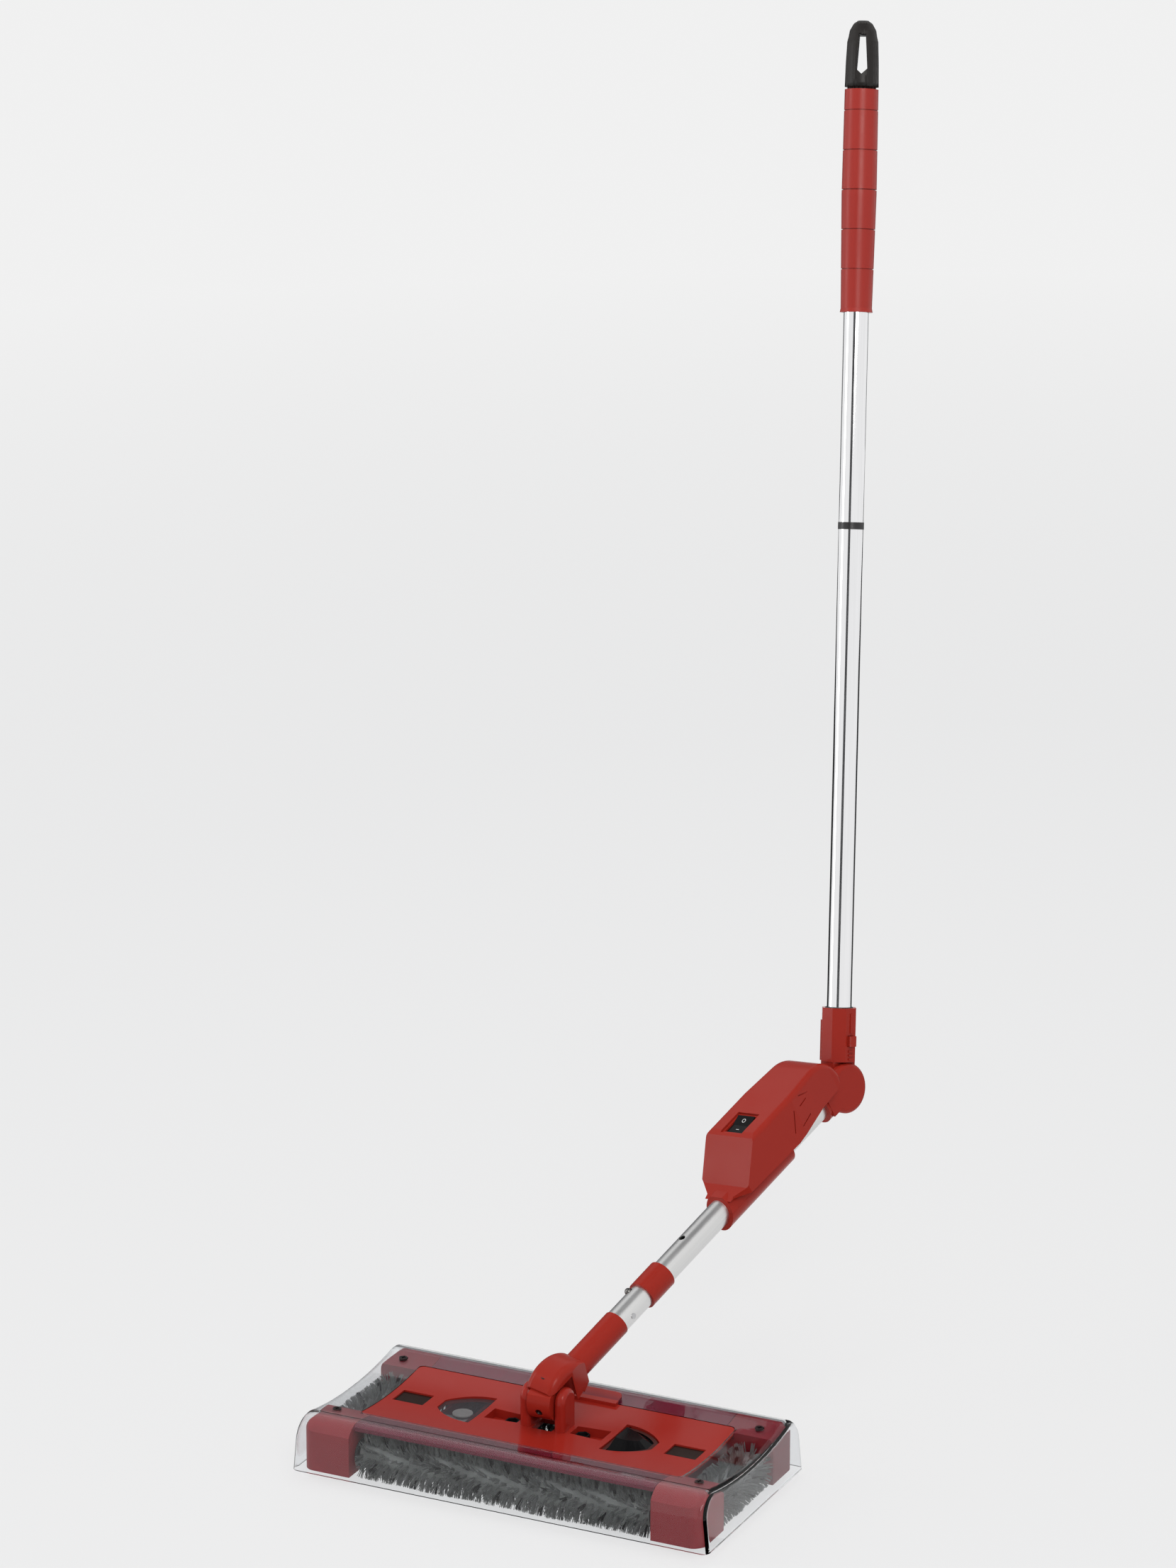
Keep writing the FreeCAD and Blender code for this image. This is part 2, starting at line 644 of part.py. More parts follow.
def pan_outline(drawing, side, extra):
    """A pocket's outline: wider at its far end."""
    near, far = pan_start - extra, pan_start + pan_length + extra
    narrow, wide = pan_half - 2 + extra, pan_half + extra
    return outline(drawing, [(side * near, -narrow), (side * far, -wide), (side * far, wide),
                             (side * near, narrow)])


def make_tab():
    """The raised tab behind the base joint, which lies on the clear cover."""
    tab = Piece("back_tab")
    inner, edge = opening_half_y - 4, opening_half_y - seat_gap - 0.2
    low, high = saddle_radius - seat_gap, saddle_radius - seat_gap - 2
    outline(tab.sketch("YZ_Plane"), [
        (inner, saddle_height(inner, saddle_radius + 1)), (edge, saddle_height(edge, saddle_radius + 1)),
        (edge, saddle_height(edge, low)), (tab_end, saddle_height(tab_end, low)),
        (tab_end, saddle_height(tab_end, high)), (inner, saddle_height(inner, high))])
    tab.pad(tab.body.Group[-1], 2 * tab_half, both=True)
    tab.fillet(6, lambda e: runs_along(e, 2) and abs(edge_middle(e).y - tab_end.value) < 0.01)
    return tab.body


def make_plate():
    """The red plate that fills the cover's opening, with the ears of the base joint."""
    plate = Piece("plate_body")
    plate.pad(rail_profile(plate.sketch("YZ_Plane")), 2 * rail_half_x, both=True)
    plate.pad(saddle_strip(plate.sketch("YZ_Plane"), plate_half_y, plate_radius, plate_wall + cover_wall),
              2 * plate_half_x, both=True)
    plate.fillet(opening_round, lambda e: runs_along(e, 2)
                 and abs(abs(edge_middle(e).x) - plate_half_x.value) < 0.01
                 and abs(abs(edge_middle(e).y) - plate_half_y.value) < 0.01)
    sides = (1, -1)
    solid = fuse("plate_solid", [plate.body, make_tab()] + [make_ear(side) for side in sides]
                 + [make_pan(side) for side in sides])
    openings = Piece("plate_openings")
    through = openings.sketch("XY_Plane", plate_underside - pan_drop - 1)
    for side in sides:
        near, far = (window_inner, window_outer) if side > 0 else (-window_outer, -window_inner)
        rectangle(through, (near, -window_half_y), (far, window_half_y))
        circle(through, (side * (pan_start + 6.5), 0), pan_hole)
    rectangle(through, (-ear_inner + 1.5, -ear_radius), (ear_inner - 1.5, ear_radius))
    openings.pad(through, pan_drop + 20)
    pockets = Piece("pan_spaces")
    floor = pockets.sketch("XY_Plane", plate_underside - pan_drop + plate_wall / 2)
    for side in sides:
        pan_outline(floor, side, as_size(0))
    pockets.pad(floor, pan_drop + 20)
    cuts = [leaf(f"leaf_cut{side}", side, 0, dip_height - 20, dip_height + 10) for side in sides]
    cuts += [openings.body, pockets.body]
    cuts.append(rod("pedal_bore", pedal_pin + run_gap, (leaf_base + 2.4, -leaf_half - 2.3, pedal_axis),
                    2 * leaf_half + 4.6, Y_AXIS))
    reach = ear_inner + ear_thick - pin_cover
    cuts.append(rod("tilt_bore", pin_radius, (-reach, 0, pin_height), 2 * reach, X_AXIS))
    node("top_plate", cut("plate_cut", solid, cuts))


make_plate()


def make_windows():
    """Two small dark windows in the plate, and the grey one over the motor."""
    panes = []
    for side in (1, -1):
        near, far = (window_inner, window_outer) if side > 0 else (-window_outer, -window_inner)
        panes.append(box(f"pane{side}", (near + 0.1, -window_half_y + 0.1, plate_underside),
                         (far - 0.1, window_half_y - 0.1, dip_height - 1.4)))
    node("tray_windows", doc.addObject("Part::Compound", "panes"))
    nodes["tray_windows"].Links = panes
    node("motor_window", leaf("motor_pane", -1, 0.1, dip_height - 3.2, dip_height - 1.2))


make_windows()

# ---------------------------------------------------------------- lower frame, gearboxes, glides


def make_frame():
    """A rectangular frame under the plate: two closed ends, and a throat along each long side."""
    inner_x = frame_half_x - plate_wall
    inner_y = frame_half_y - plate_wall
    block = box("frame_block", (-frame_half_x, -frame_half_y, box_floor),
                (frame_half_x, frame_half_y, frame_top))
    hollow = box("frame_hollow", (-inner_x, -inner_y, box_floor - 1), (inner_x, inner_y, frame_top + 1))
    throat = box("frame_throat", (-inner_x, -frame_half_y - 1, box_floor - 1),
                 (inner_x, frame_half_y + 1, throat_top))
    belt_slot = box("belt_slot", (-pulley_x - 2, -frame_half_y - 1, box_floor - 1),
                    (-pulley_x + 3, -inner_y + 1, frame_top - 1.5))
    pins = rod("hinge_bore", hinge_pin + run_gap, (-frame_half_x - 1, hinge_y, hinge_z),
               2 * frame_half_x + 2, X_AXIS)
    walls = cut("frame_walls", block, [hollow, throat, belt_slot, pins])
    bars = []
    bar_places = (4 - motor_start - motor_length, -motor_start - 4, leaf_base - 3)
    for i, x in enumerate(bar_places):
        bars.append(box(f"frame_bar{i}", (x - 1.2, -inner_y - 0.5, throat_top + 1),
                        (x + 1.2, inner_y + 0.5, frame_top)))
    can = rod("can_space", motor_radius + 0.2, (-motor_start - motor_length - 20, motor_y, motor_z),
              motor_length + 40, X_AXIS)
    node("lower_frame", cut("frame_cut", fuse("frame_solid", [walls] + bars), [can]))


make_frame()


def corner_box(side, end):
    """A corner gearbox: a rounded housing, hollow for a pair of bevel gears."""
    across = "right" if side > 0 else "left"
    along = "back" if end > 0 else "front"
    name = f"gearbox_{along}_{across}"
    casing = Piece(f"{name}_body")
    floor = casing.sketch("XY_Plane", box_floor)
    outline(floor, [(side * box_start_x, end * box_start_y), (side * box_end_x, end * box_start_y),
                    (side * box_end_x, end * box_end_y), (side * box_start_x, end * box_end_y)])
    casing.pad(floor, box_top - box_floor)
    far_x, far_y = box_end_x.value, box_end_y.value
    casing.fillet(9, lambda e: runs_along(e, 2) and abs(abs(edge_middle(e).x) - far_x) < 0.01
                  and abs(abs(edge_middle(e).y) - far_y) < 0.01)
    casing.fillet(8, lambda e: edge_middle(e).z > box_top.value - 0.1
                  and (abs(edge_middle(e).x) > far_x - 5 or abs(edge_middle(e).y) > far_y - 5))
    low, high = axle_height - gear_pitch - 3, axle_height + gear_pitch + 3
    cave = casing.sketch("XY_Plane", low)
    outline(cave, [(side * (box_start_x + box_wall), end * (box_start_y + box_wall)),
                   (side * (box_end_x - box_wall), end * (box_start_y + box_wall)),
                   (side * (box_end_x - box_wall), end * (box_end_y - box_wall)),
                   (side * (box_start_x + box_wall), end * (box_end_y - box_wall))])
    casing.pocket(cave, high - low, back=True)
    doc.recompute()
    seat = bush_radius
    bores = [rod(f"{name}_bore_x", seat, (side * (box_start_x - 1), end * brush_y, axle_height),
                 1 + box_wall + 1, X_AXIS if side > 0 else (0, 1, 0, -90)),
             rod(f"{name}_bore_y", seat, (side * side_x, end * (box_start_y - 1), axle_height),
                 1 + box_wall + 1, Y_AXIS if end > 0 else (1, 0, 0, 90))]
    bores.append(rod(f"{name}_screw_hole", screw_radius, (side * screw_x, end * screw_y, box_top - 8), 10))
    near = (box_start_x - 1, opening_half_x + seat_gap)
    across_y = (box_start_y - 1, opening_half_y + seat_gap)
    x_low, x_high = near if side > 0 else (-near[1], -near[0])
    y_low, y_high = across_y if end > 0 else (-across_y[1], -across_y[0])
    plate_space = box(f"{name}_plate_space", (x_low, y_low, plate_underside - 0.5),
                      (x_high, y_high, box_top + 1))
    round_part = rod(f"{name}_shoulder", shoulder_radius - cover_wall - seat_gap,
                     (-half_length, end * shoulder_y, shoulder_z), cover_length, X_AXIS)
    outside_y = (shoulder_y, half_width) if end > 0 else (-half_width, -shoulder_y)
    shoulder = cut(f"{name}_shoulder_cut", box(
        f"{name}_shoulder_box", (-half_length, outside_y[0], shoulder_z),
        (half_length, outside_y[1], box_top + 5)), [round_part])
    hollow_top = rod(f"{name}_hollow_top", saddle_radius + cover_wall + seat_gap,
                     (-half_length, 0, saddle_centre), cover_length, X_AXIS)
    node(name, cut(f"{name}_cut", casing.body, bores + [plate_space, hollow_top, shoulder]))


for side in (-1, 1):
    for end in (-1, 1):
        corner_box(side, end)


def at_corners(make):
    """One solid at each corner, in one node."""
    return [make(side, end) for side in (-1, 1) for end in (-1, 1)]


def make_glides():
    """Four domed pads that the head stands and slides on."""
    def glide(side, end):
        name = f"glide_{side}_{end}".replace("-", "m")
        where = (side * glide_x, end * glide_y)
        stem = rod(f"{name}_stem", glide_radius, (*where, 2), box_floor - 2)
        dome = cone(f"{name}_dome", glide_radius - 2, glide_radius, (*where, 0), 2)
        return fuse(name, [stem, dome])
    thing = node("floor_glides", doc.addObject("Part::Compound", "glides"))
    thing.Links = at_corners(glide)


make_glides()


def make_screws():
    """Four cross-head screws that hold the cover down on the gearboxes."""
    def screw(side, end):
        name = f"screw_{side}_{end}".replace("-", "m")
        where = (side * screw_x, end * screw_y)
        head = rod(f"{name}_head", screw_head, (*where, screw_seat), screw_thick)
        shank = rod(f"{name}_shank", screw_radius, (*where, box_top - 7), screw_seat - box_top + 7.5)
        slots = [box(f"{name}_slot{i}", (where[0] - dx, where[1] - dy, screw_seat + 0.7),
                     (where[0] + dx, where[1] + dy, screw_seat + screw_thick + 1))
                 for i, (dx, dy) in enumerate(((2.2, 0.5), (0.5, 2.2)))]
        return cut(name, fuse(name + "_whole", [head, shank]), slots)
    thing = node("corner_screws", doc.addObject("Part::Compound", "screws"))
    thing.Links = at_corners(screw)


make_screws()

# ---------------------------------------------------------------- brushes, shafts, bevel gears


def bush_ring(name, start, turn):
    outer = rod(f"{name}_out", bush_radius, start, box_wall, turn)
    inner = rod(f"{name}_in", shaft_radius + run_gap, start, box_wall, turn)
    return cut(name, outer, [inner])


def make_bushes():
    """Bronze bushes in the gearbox walls, one at each end of each brush shaft."""
    rings = []
    for side in (-1, 1):
        for end in (-1, 1):
            name = f"bush_{side}_{end}".replace("-", "m")
            turn = X_AXIS if side > 0 else (0, 1, 0, -90)
            rings.append(bush_ring(name + "_x", (side * box_start_x, end * brush_y, axle_height), turn))
            turn = Y_AXIS if end > 0 else (1, 0, 0, 90)
            rings.append(bush_ring(name + "_y", (side * side_x, end * box_start_y, axle_height), turn))
    thing = node("shaft_bushes", doc.addObject("Part::Compound", "bushes"))
    thing.Links = rings


make_bushes()


def tufted_core(half, reach, count, turns):
    """A core with four rows of flared tufts that wind round it."""
    core = Part.makeCylinder(core_radius.value, 2 * half, Vector(-half, 0, 0), Vector(1, 0, 0))
    low, foot = core_radius.value - 0.6, tuft_foot.value
    tip = foot * tuft_flare.value
    tufts = []
    for row in range(4):
        for i in range(count):
            share = (i + 0.5) / count
            piece = Part.makeWedge(-foot, low, -foot, -tip, -tip, foot, reach, foot, tip, tip)
            piece.rotate(Vector(0, 0, 0), Vector(1, 0, 0), 90 * row + 360 * turns * share)
            piece.translate(Vector(-half + 2 * half * share, 0, 0))
            tufts.append(piece)
    return core.fuse(tufts)


def bevel_tooth(start, length):
    """One straight tooth, shrinking towards the point where the two axes meet."""
    pitch = gear_pitch.value
    half = (math.pi * pitch / gear_teeth.value - gear_play.value) / 2
    slope = math.tan(math.radians(20))
    ends = []
    for along in (start, start + length):
        size = (pitch - along) / pitch
        rim, foot = pitch + gear_rise.value, pitch - gear_drop.value - 0.3
        corners = []
        for radius, sign in ((foot, -1), (rim, -1), (rim, 1), (foot, 1)):
            across = half - (radius - pitch) * slope
            corners.append(Vector(radius * size, sign * across * size, along))
        ends.append(Part.makePolygon(corners + corners[:1]))
    return Part.makeLoft(ends, True, True)


def bevel_gear(phase):
    """A straight bevel gear at 45 degrees, its small end towards +Z, with a hub on its back."""
    pitch, face = gear_pitch.value, gear_face.value
    root_end = pitch - gear_drop.value
    small = root_end * (pitch - face) / pitch
    gear = Part.makeCone(root_end, small, face).fuse(Part.makeCylinder(root_end, 1.2, Vector(0, 0, -1.2)))
    teeth = []
    for i in range(int(gear_teeth.value)):
        tooth = bevel_tooth(0, face)
        tooth.rotate(Vector(0, 0, 0), Vector(0, 0, 1), 360 * (i + phase) / gear_teeth.value)
        teeth.append(tooth)
    bore = Part.makeCylinder(shaft_radius.value, 20, Vector(0, 0, -10))
    return gear.fuse(teeth).cut(bore)


def make_brush(name, along_x, sign, half, reach, count, turns):
    """A brush: tufted core, steel shaft, and a bevel gear on each end of the shaft."""
    axis_turn = FreeCAD.Rotation(Vector(0, 0, 1), 0 if along_x else 90)
    centre = Vector(0, sign * brush_y.value, axle_height.value) if along_x else \
        Vector(sign * side_x.value, 0, axle_height.value)
    core = doc.addObject("Part::Feature", f"{name}_core")
    bore = Part.makeCylinder(shaft_radius.value, 2 * half + 2, Vector(-half - 1, 0, 0), Vector(1, 0, 0))
    core.Shape = tufted_core(half, reach, count, turns).cut(bore)
    core.Placement = FreeCAD.Placement(centre, axis_turn)
    node(name, core)
    apex = side_x.value if along_x else brush_y.value
    tip = apex - gear_pitch.value + gear_face.value
    shaft = doc.addObject("Part::Feature", f"{name}_shaft_solid")
    shaft.Shape = Part.makeCylinder(shaft_radius.value, 2 * tip, Vector(-tip, 0, 0), Vector(1, 0, 0))
    shaft.Placement = FreeCAD.Placement(centre, axis_turn)
    node(f"{name}_shaft", shaft)
    gears = []
    for way in (1, -1):
        gear = bevel_gear(0 if along_x else 0.5)
        gear.rotate(Vector(0, 0, 0), Vector(0, 1, 0), 90 * way)
        gear.translate(Vector(way * (apex - gear_pitch.value), 0, 0))
        gears.append(gear)
    pair = doc.addObject("Part::Feature", f"{name}_gear_pair")
    pair.Shape = Part.makeCompound(gears)
    pair.Placement = FreeCAD.Placement(centre, axis_turn)
    node(f"{name}_bevel_gears", pair)


make_brush("front_brush", True, -1, long_half.value, long_reach.value, 20, 0.8)
make_brush("back_brush", True, 1, long_half.value, long_reach.value, 20, -0.8)
make_brush("left_brush", False, -1, side_half.value, side_reach.value, 7, 0.35)
make_brush("right_brush", False, 1, side_half.value, side_reach.value, 7, -0.35)

# ---------------------------------------------------------------- dirt tray, pedal, motor, belt


def make_tray():
    """The tray under the head: an open box with sloping lips, on two hinge stubs at the back."""
    outer = box("tray_outer", (-tray_half_x, -tray_half_y, tray_floor), (tray_half_x, tray_half_y, tray_top))
    inner = box("tray_inner", (-tray_half_x + tray_wall, -tray_half_y + tray_wall, tray_floor + tray_wall),
                (tray_half_x - tray_wall, tray_half_y - tray_wall, tray_top + 1))
    stubs = []
    for side in (1, -1):
        turn = X_AXIS if side > 0 else (0, 1, 0, -90)
        reach = frame_half_x - tray_half_x - 0.4
        stubs.append(rod(f"tray_stub{side}", hinge_pin, (side * (tray_half_x - 0.5), hinge_y, hinge_z),
                         reach, turn))
    rib_places = [tray_half_x * step / 3 for step in (-2, -1, 0, 1, 2)]
    ribs = [box(f"tray_rib{i}", (x - 0.8, -tray_half_y + 1, tray_floor + 1),
                (x + 0.8, tray_half_y - 1, tray_floor + 4)) for i, x in enumerate(rib_places)]
    node("dirt_tray", fuse("tray_solid", [cut("tray_shell", outer, [inner])] + stubs + ribs))


make_tray()


def make_pedal():
    """The foot pedal that lets the tray go: a leaf-shaped wedge, hinged along its straight side."""
    gap = 0.6
    body = leaf("pedal_leaf", 1, gap, dip_height - 6, dip_height + 7)
    clear = 2 * leaf_half
    slope = box("pedal_slope", (0, 0, 0), (2 * leaf_reach, 2 * clear, leaf_half))
    place(slope, (leaf_base - 2, -clear, dip_height + 6.5), (0, 1, 0, 9))
    pins = rod("pedal_pins", pedal_pin, (leaf_base + 2.4, -leaf_half - 2, pedal_axis),
               2 * leaf_half + 4, Y_AXIS)
    node("release_pedal", fuse("pedal_solid", [cut("pedal_cut", body, [slope]), pins]))


make_pedal()


def make_motor():
    """The small motor under the grey window, its belt pulley, and the belt to the front brush."""
    start = (-motor_start, motor_y, motor_z)
    back = (0, 1, 0, -90)
    can = rod("motor_can", motor_radius, start, motor_length, back)
    nose = rod("motor_nose", 4, (-motor_start - motor_length + 0.5, motor_y, motor_z), 2.5, back)
    node("motor", fuse("motor_solid", [can, nose]))
    shaft_start = motor_start + motor_length + 2.2
    shaft = rod("motor_shaft", 1, (-shaft_start, motor_y, motor_z),
                pulley_x + pulley_width / 2 - shaft_start, back)
    wheel = rod("motor_wheel", small_pulley, (-pulley_x + pulley_width / 2, motor_y, motor_z),
                pulley_width, back)
    node("motor_pulley", fuse("motor_pulley_solid", [shaft, wheel]))
    node("brush_pulley", cut("brush_pulley_cut", rod(
        "brush_wheel", large_pulley, (-pulley_x + pulley_width / 2, -brush_y, axle_height), pulley_width,
        back), [rod("brush_wheel_bore", shaft_radius, (-pulley_x + 5, -brush_y, axle_height), 10, back)]))


def belt_loop(extra, low, length):
    """The outline of a belt round both pulleys, as a prism along X."""
    gap_y, gap_z = motor_y.value + brush_y.value, motor_z.value - axle_height.value
    span = math.hypot(gap_y, gap_z)
    lean = math.atan2(gap_z, gap_y)
    near, far = large_pulley.value + extra, small_pulley.value + extra
    open_angle = math.acos((near - far) / span)
    points = []
    for radius, centre_y, centre_z, sign in (
            (near, -brush_y.value, axle_height.value, 1), (far, motor_y.value, motor_z.value, 1),
            (far, motor_y.value, motor_z.value, -1), (near, -brush_y.value, axle_height.value, -1)):
        angle = lean + sign * open_angle
        points.append(Vector(0, centre_y + radius * math.cos(angle), centre_z + radius * math.sin(angle)))
    end = Vector(0, motor_y.value + far * math.cos(lean), motor_z.value + far * math.sin(lean))
    back = Vector(0, -brush_y.value - near * math.cos(lean), axle_height.value - near * math.sin(lean))
    edges = [Part.LineSegment(points[0], points[1]).toShape(), Part.Arc(points[1], end, points[2]).toShape(),
             Part.LineSegment(points[2], points[3]).toShape(), Part.Arc(points[3], back, points[0]).toShape()]
    face = Part.Face(Part.Wire(edges))
    face.translate(Vector(low, 0, 0))
    return face.extrude(Vector(length, 0, 0))


def make_belt():
    low = -pulley_x.value - pulley_width.value / 2
    outer = belt_loop(0.1 + belt_thick.value, low, pulley_width.value)
    inner = belt_loop(0.1, low - 1, pulley_width.value + 2)
    belt = doc.addObject("Part::Feature", "belt_solid")
    belt.Shape = outer.cut(inner)
    node("drive_belt", belt)


make_motor()
make_belt()

# ---------------------------------------------------------------- base joint

tilt_frame = frame_at("TiltFrame", None, (0, 0, pin_height), (1, 0, 0, base_tilt_angle))
pole_frame = frame_at("PoleFrame", tilt_frame, (0, swivel_offset, 0), (0, 0, 1, -base_swing_angle))
roll_frame = frame_at("RollFrame", pole_frame, turn=(0, 1, 0, -pole_roll_angle))
elbow_frame = frame_at("ElbowFrame", roll_frame, (0, elbow_at, 0), (1, 0, 0, elbow_bend_angle))


def make_block():
    """The block that tilts between the ears: round in front, flat above and below."""
    barrel = rod("block_barrel", block_radius, (-block_half, 0, 0), 2 * block_half, X_AXIS)
    keep = box("block_keep", (-block_half, -block_radius - 1, -block_flat),
               (block_half, swivel_offset + 7, block_flat))
    bore = rod("block_bore", pin_radius + run_gap, (-block_half - 1, 0, 0), 2 * block_half + 2, X_AXIS)
    screw_hole = rod("block_screw_hole", 2.8, (0, -block_radius - 1, 0), 6, Y_AXIS)
    low_bore = rod("block_low_bore", pin_radius + run_gap, (0, swivel_offset, -block_flat - 1), 5.5)
    top_bore = rod("block_top_bore", pin_radius + run_gap, (0, swivel_offset, block_flat - 4.5), 5.5)
    node("joint_block", cut("block_cut", common("block_solid", [barrel, keep]),
                            [bore, screw_hole, low_bore, top_bore]), tilt_frame)


def make_pins():
    """The steel pins of the base joint: one across the ears, two short ones for the swivel."""
    reach = ear_inner + ear_thick - pin_cover
    node("tilt_pin", rod("tilt_pin_rod", pin_radius, (-reach, 0, pin_height), 2 * reach, X_AXIS))
    upper = rod("upper_swivel_pin", pin_radius, (0, 0, block_flat - 4), hood_top - block_flat + 4 - pin_cover)
    lower = rod("lower_swivel_pin", pin_radius, (0, 0, pin_cover - leg_bottom),
                leg_bottom - block_flat + 4 - pin_cover)
    pins = doc.addObject("Part::Compound", "swivel_pin_pair")
    pins.Links = [upper, lower]
    node("swivel_pins", pins, pole_frame)


def hood_radius(reach, drop):
    """The arc that is level at the hood's peak and falls by this drop over this reach."""
    return (reach * reach + drop * drop) / (2 * drop)


def make_fork():
    """The fork over the joint block, narrowing to the shank that the first tube slips on."""
    fork = Piece("fork_body")
    front_arc = hood_radius(fork_front + hood_peak, brow_drop)
    back_arc = hood_radius(shank_start - hood_peak, hood_top - shank_radius)
    outline(fork.sketch("YZ_Plane"), [
        (-leg_front, -leg_bottom), (shank_start - 18, -leg_bottom), (shank_start, -shank_radius),
        (shank_start, shank_radius), (hood_peak, hood_top), (-fork_front, hood_top - brow_drop)],
        {3: -back_arc, 4: -front_arc})
    fork.pad(fork.body.Group[-1], 2 * hood_half, both=True)
    fork.fillet(hood_round, lambda e: abs(abs(edge_middle(e).x) - hood_half.value) < 0.01
                and edge_middle(e).z > shank_radius.value + 1 and not runs_along(e, 2))
    plan = Piece("fork_plan")
    waist = shank_start - 16
    outline(plan.sketch("XY_Plane", -leg_bottom - 1), [
        (-hood_half, -fork_front - 1), (hood_half, -fork_front - 1), (hood_half, waist),
        (shank_radius, shank_start + 1), (-shank_radius, shank_start + 1), (-hood_half, waist)])
    plan.pad(plan.body.Group[-1], leg_bottom + hood_top + 2)
    arch = rod("fork_arch", arch_radius, (0, 0, -block_flat - seat_gap), 2 * (block_flat + seat_gap))
    bore = rod("fork_pin_bore", pin_radius, (0, 0, pin_cover - leg_bottom),
               leg_bottom + hood_top - 2 * pin_cover)
    leg_sides = []
    for side in (1, -1):
        low, high = (leg_half, hood_half + 1) if side > 0 else (-hood_half - 1, -leg_half)
        leg_sides.append(box(f"leg_side{side}", (low, -fork_front - 1, -leg_bottom - 1),
                             (high, shank_start - 8, -block_flat)))
    solid = common("fork_common", [fork.body, plan.body])
    shank = rod("fork_shank", shank_radius, (0, shank_start - 1, 0), shank_end - shank_start + 1, Y_AXIS)
    spigot = rod("fork_spigot", tube_radius - tube_wall - run_gap, (0, shank_end - 1, 0),
                 spigot_length + 1, Y_AXIS)
    node("swivel_fork", cut("fork_cut", fuse("fork_solid", [solid, shank, spigot]),
                            [arch, bore] + leg_sides), pole_frame)


make_block()
make_pins()
make_fork()

# ---------------------------------------------------------------- lower pole


def tube(name, start, end, holes=()):
    """An aluminium tube along Y, with any cross holes already cut."""
    outer = rod(f"{name}_out", tube_radius, (0, start, 0), end - as_size(start), Y_AXIS)
    inner = rod(f"{name}_in", tube_radius - tube_wall, (0, start - as_size(1), 0),
                end - as_size(start) + 2, Y_AXIS)
    return cut(f"{name}_tube", outer, [inner] + list(holes))


button_turn = (0, 1, 0, -45)


def make_lower_tubes():
    """The short tube on the fork, the joining collar, and the long tube that the housing sits on."""
    hole = rod("button_hole", button_radius + 0.4, (0, button_at, 0), collar_radius + 4, button_turn)
    rivet_turn = (0, 1, 0, 75)
    rivet_at = shank_end + 10
    rivet_hole = rod("rivet_hole", 2.2, (0, rivet_at, 0), tube_radius + 4, rivet_turn)
    node("stub_tube", tube("stub", shank_end, tube_joint, [hole, rivet_hole]), pole_frame)
    seat = tube_radius - tube_wall
    rivet = rod("rivet_rod", 2.2, (seat * sine(as_size(75)), rivet_at, seat * cosine(as_size(75))),
                tube_wall + 0.4, rivet_turn)
    node("stub_rivet", rivet, pole_frame)
    collar_length = collar_end - collar_start
    ring = rod("collar_ring", collar_radius, (0, collar_start, 0), collar_length, Y_AXIS)
    ring_bore = rod("collar_bore", tube_radius, (0, collar_start - 1, 0), collar_length + 2, Y_AXIS)
    node("tube_collar", cut("collar_cut", ring, [ring_bore]), roll_frame)
    spare = rod("spare_hole", 2.5, (0, hole_at, 0), tube_radius + 4)
    node("lower_tube", tube("lower", tube_joint, elbow_at - flange_gap - 1, [spare]), roll_frame)
    sleeve_start, sleeve_end = button_at - 8, collar_end + 2.5
    sleeve_out = rod("sleeve_out", seat - 0.02, (0, sleeve_start, 0), sleeve_end - sleeve_start, Y_AXIS)
    sleeve_in = rod("sleeve_in", seat - 1, (0, sleeve_start - 1, 0), sleeve_end - sleeve_start + 2, Y_AXIS)
    sleeve_hole = rod("sleeve_hole", button_radius + 0.4, (0, button_at, 0), collar_radius, button_turn)
    node("joining_sleeve", cut("sleeve_cut", sleeve_out, [sleeve_in, sleeve_hole]), pole_frame)


def make_snap_button():
    """The spring button that locks the two lower tubes together."""
    barrel = rod("button_barrel", button_radius, (0, 0, 5), tube_radius - 0.3 - 5)
    dome = doc.addObject("Part::Sphere", "button_dome")
    bind(dome, Radius=button_radius)
    place(dome, (0, 0, tube_radius - 0.3))
    solid = fuse("button_solid", [barrel, dome])
    shift = doc.addObject("Part::Compound", "button_shift")
    shift.Links = [solid]
    place(solid, (0, button_at, 0), button_turn)
    node("snap_button", shift, pole_frame)


make_lower_tubes()
make_snap_button()

# ---------------------------------------------------------------- battery housing


def make_grooves():
    """The shallow grooves that mark the panel joints on each side of the housing."""
    marks = []
    for side in (1, -1):
        for i, (along, up, length, turn) in enumerate((
                (46.8, 31.5, 17.3, 153.6), (60.7, 17.4, 12.6, 100.5), (66.9, 33.4, 11, 69), (63, 30.6, 9, 95))):
            start_x = housing_half - 1.9 if side > 0 else -housing_half - 3
            name = f"groove{i}_{'right' if side > 0 else 'left'}"
            mark = box(name, (0, 0, 0), (4.9, 0.9, length))
            marks.append(place(mark, (start_x, housing_brow + along, as_size(up)), (1, 0, 0, turn)))
    return marks


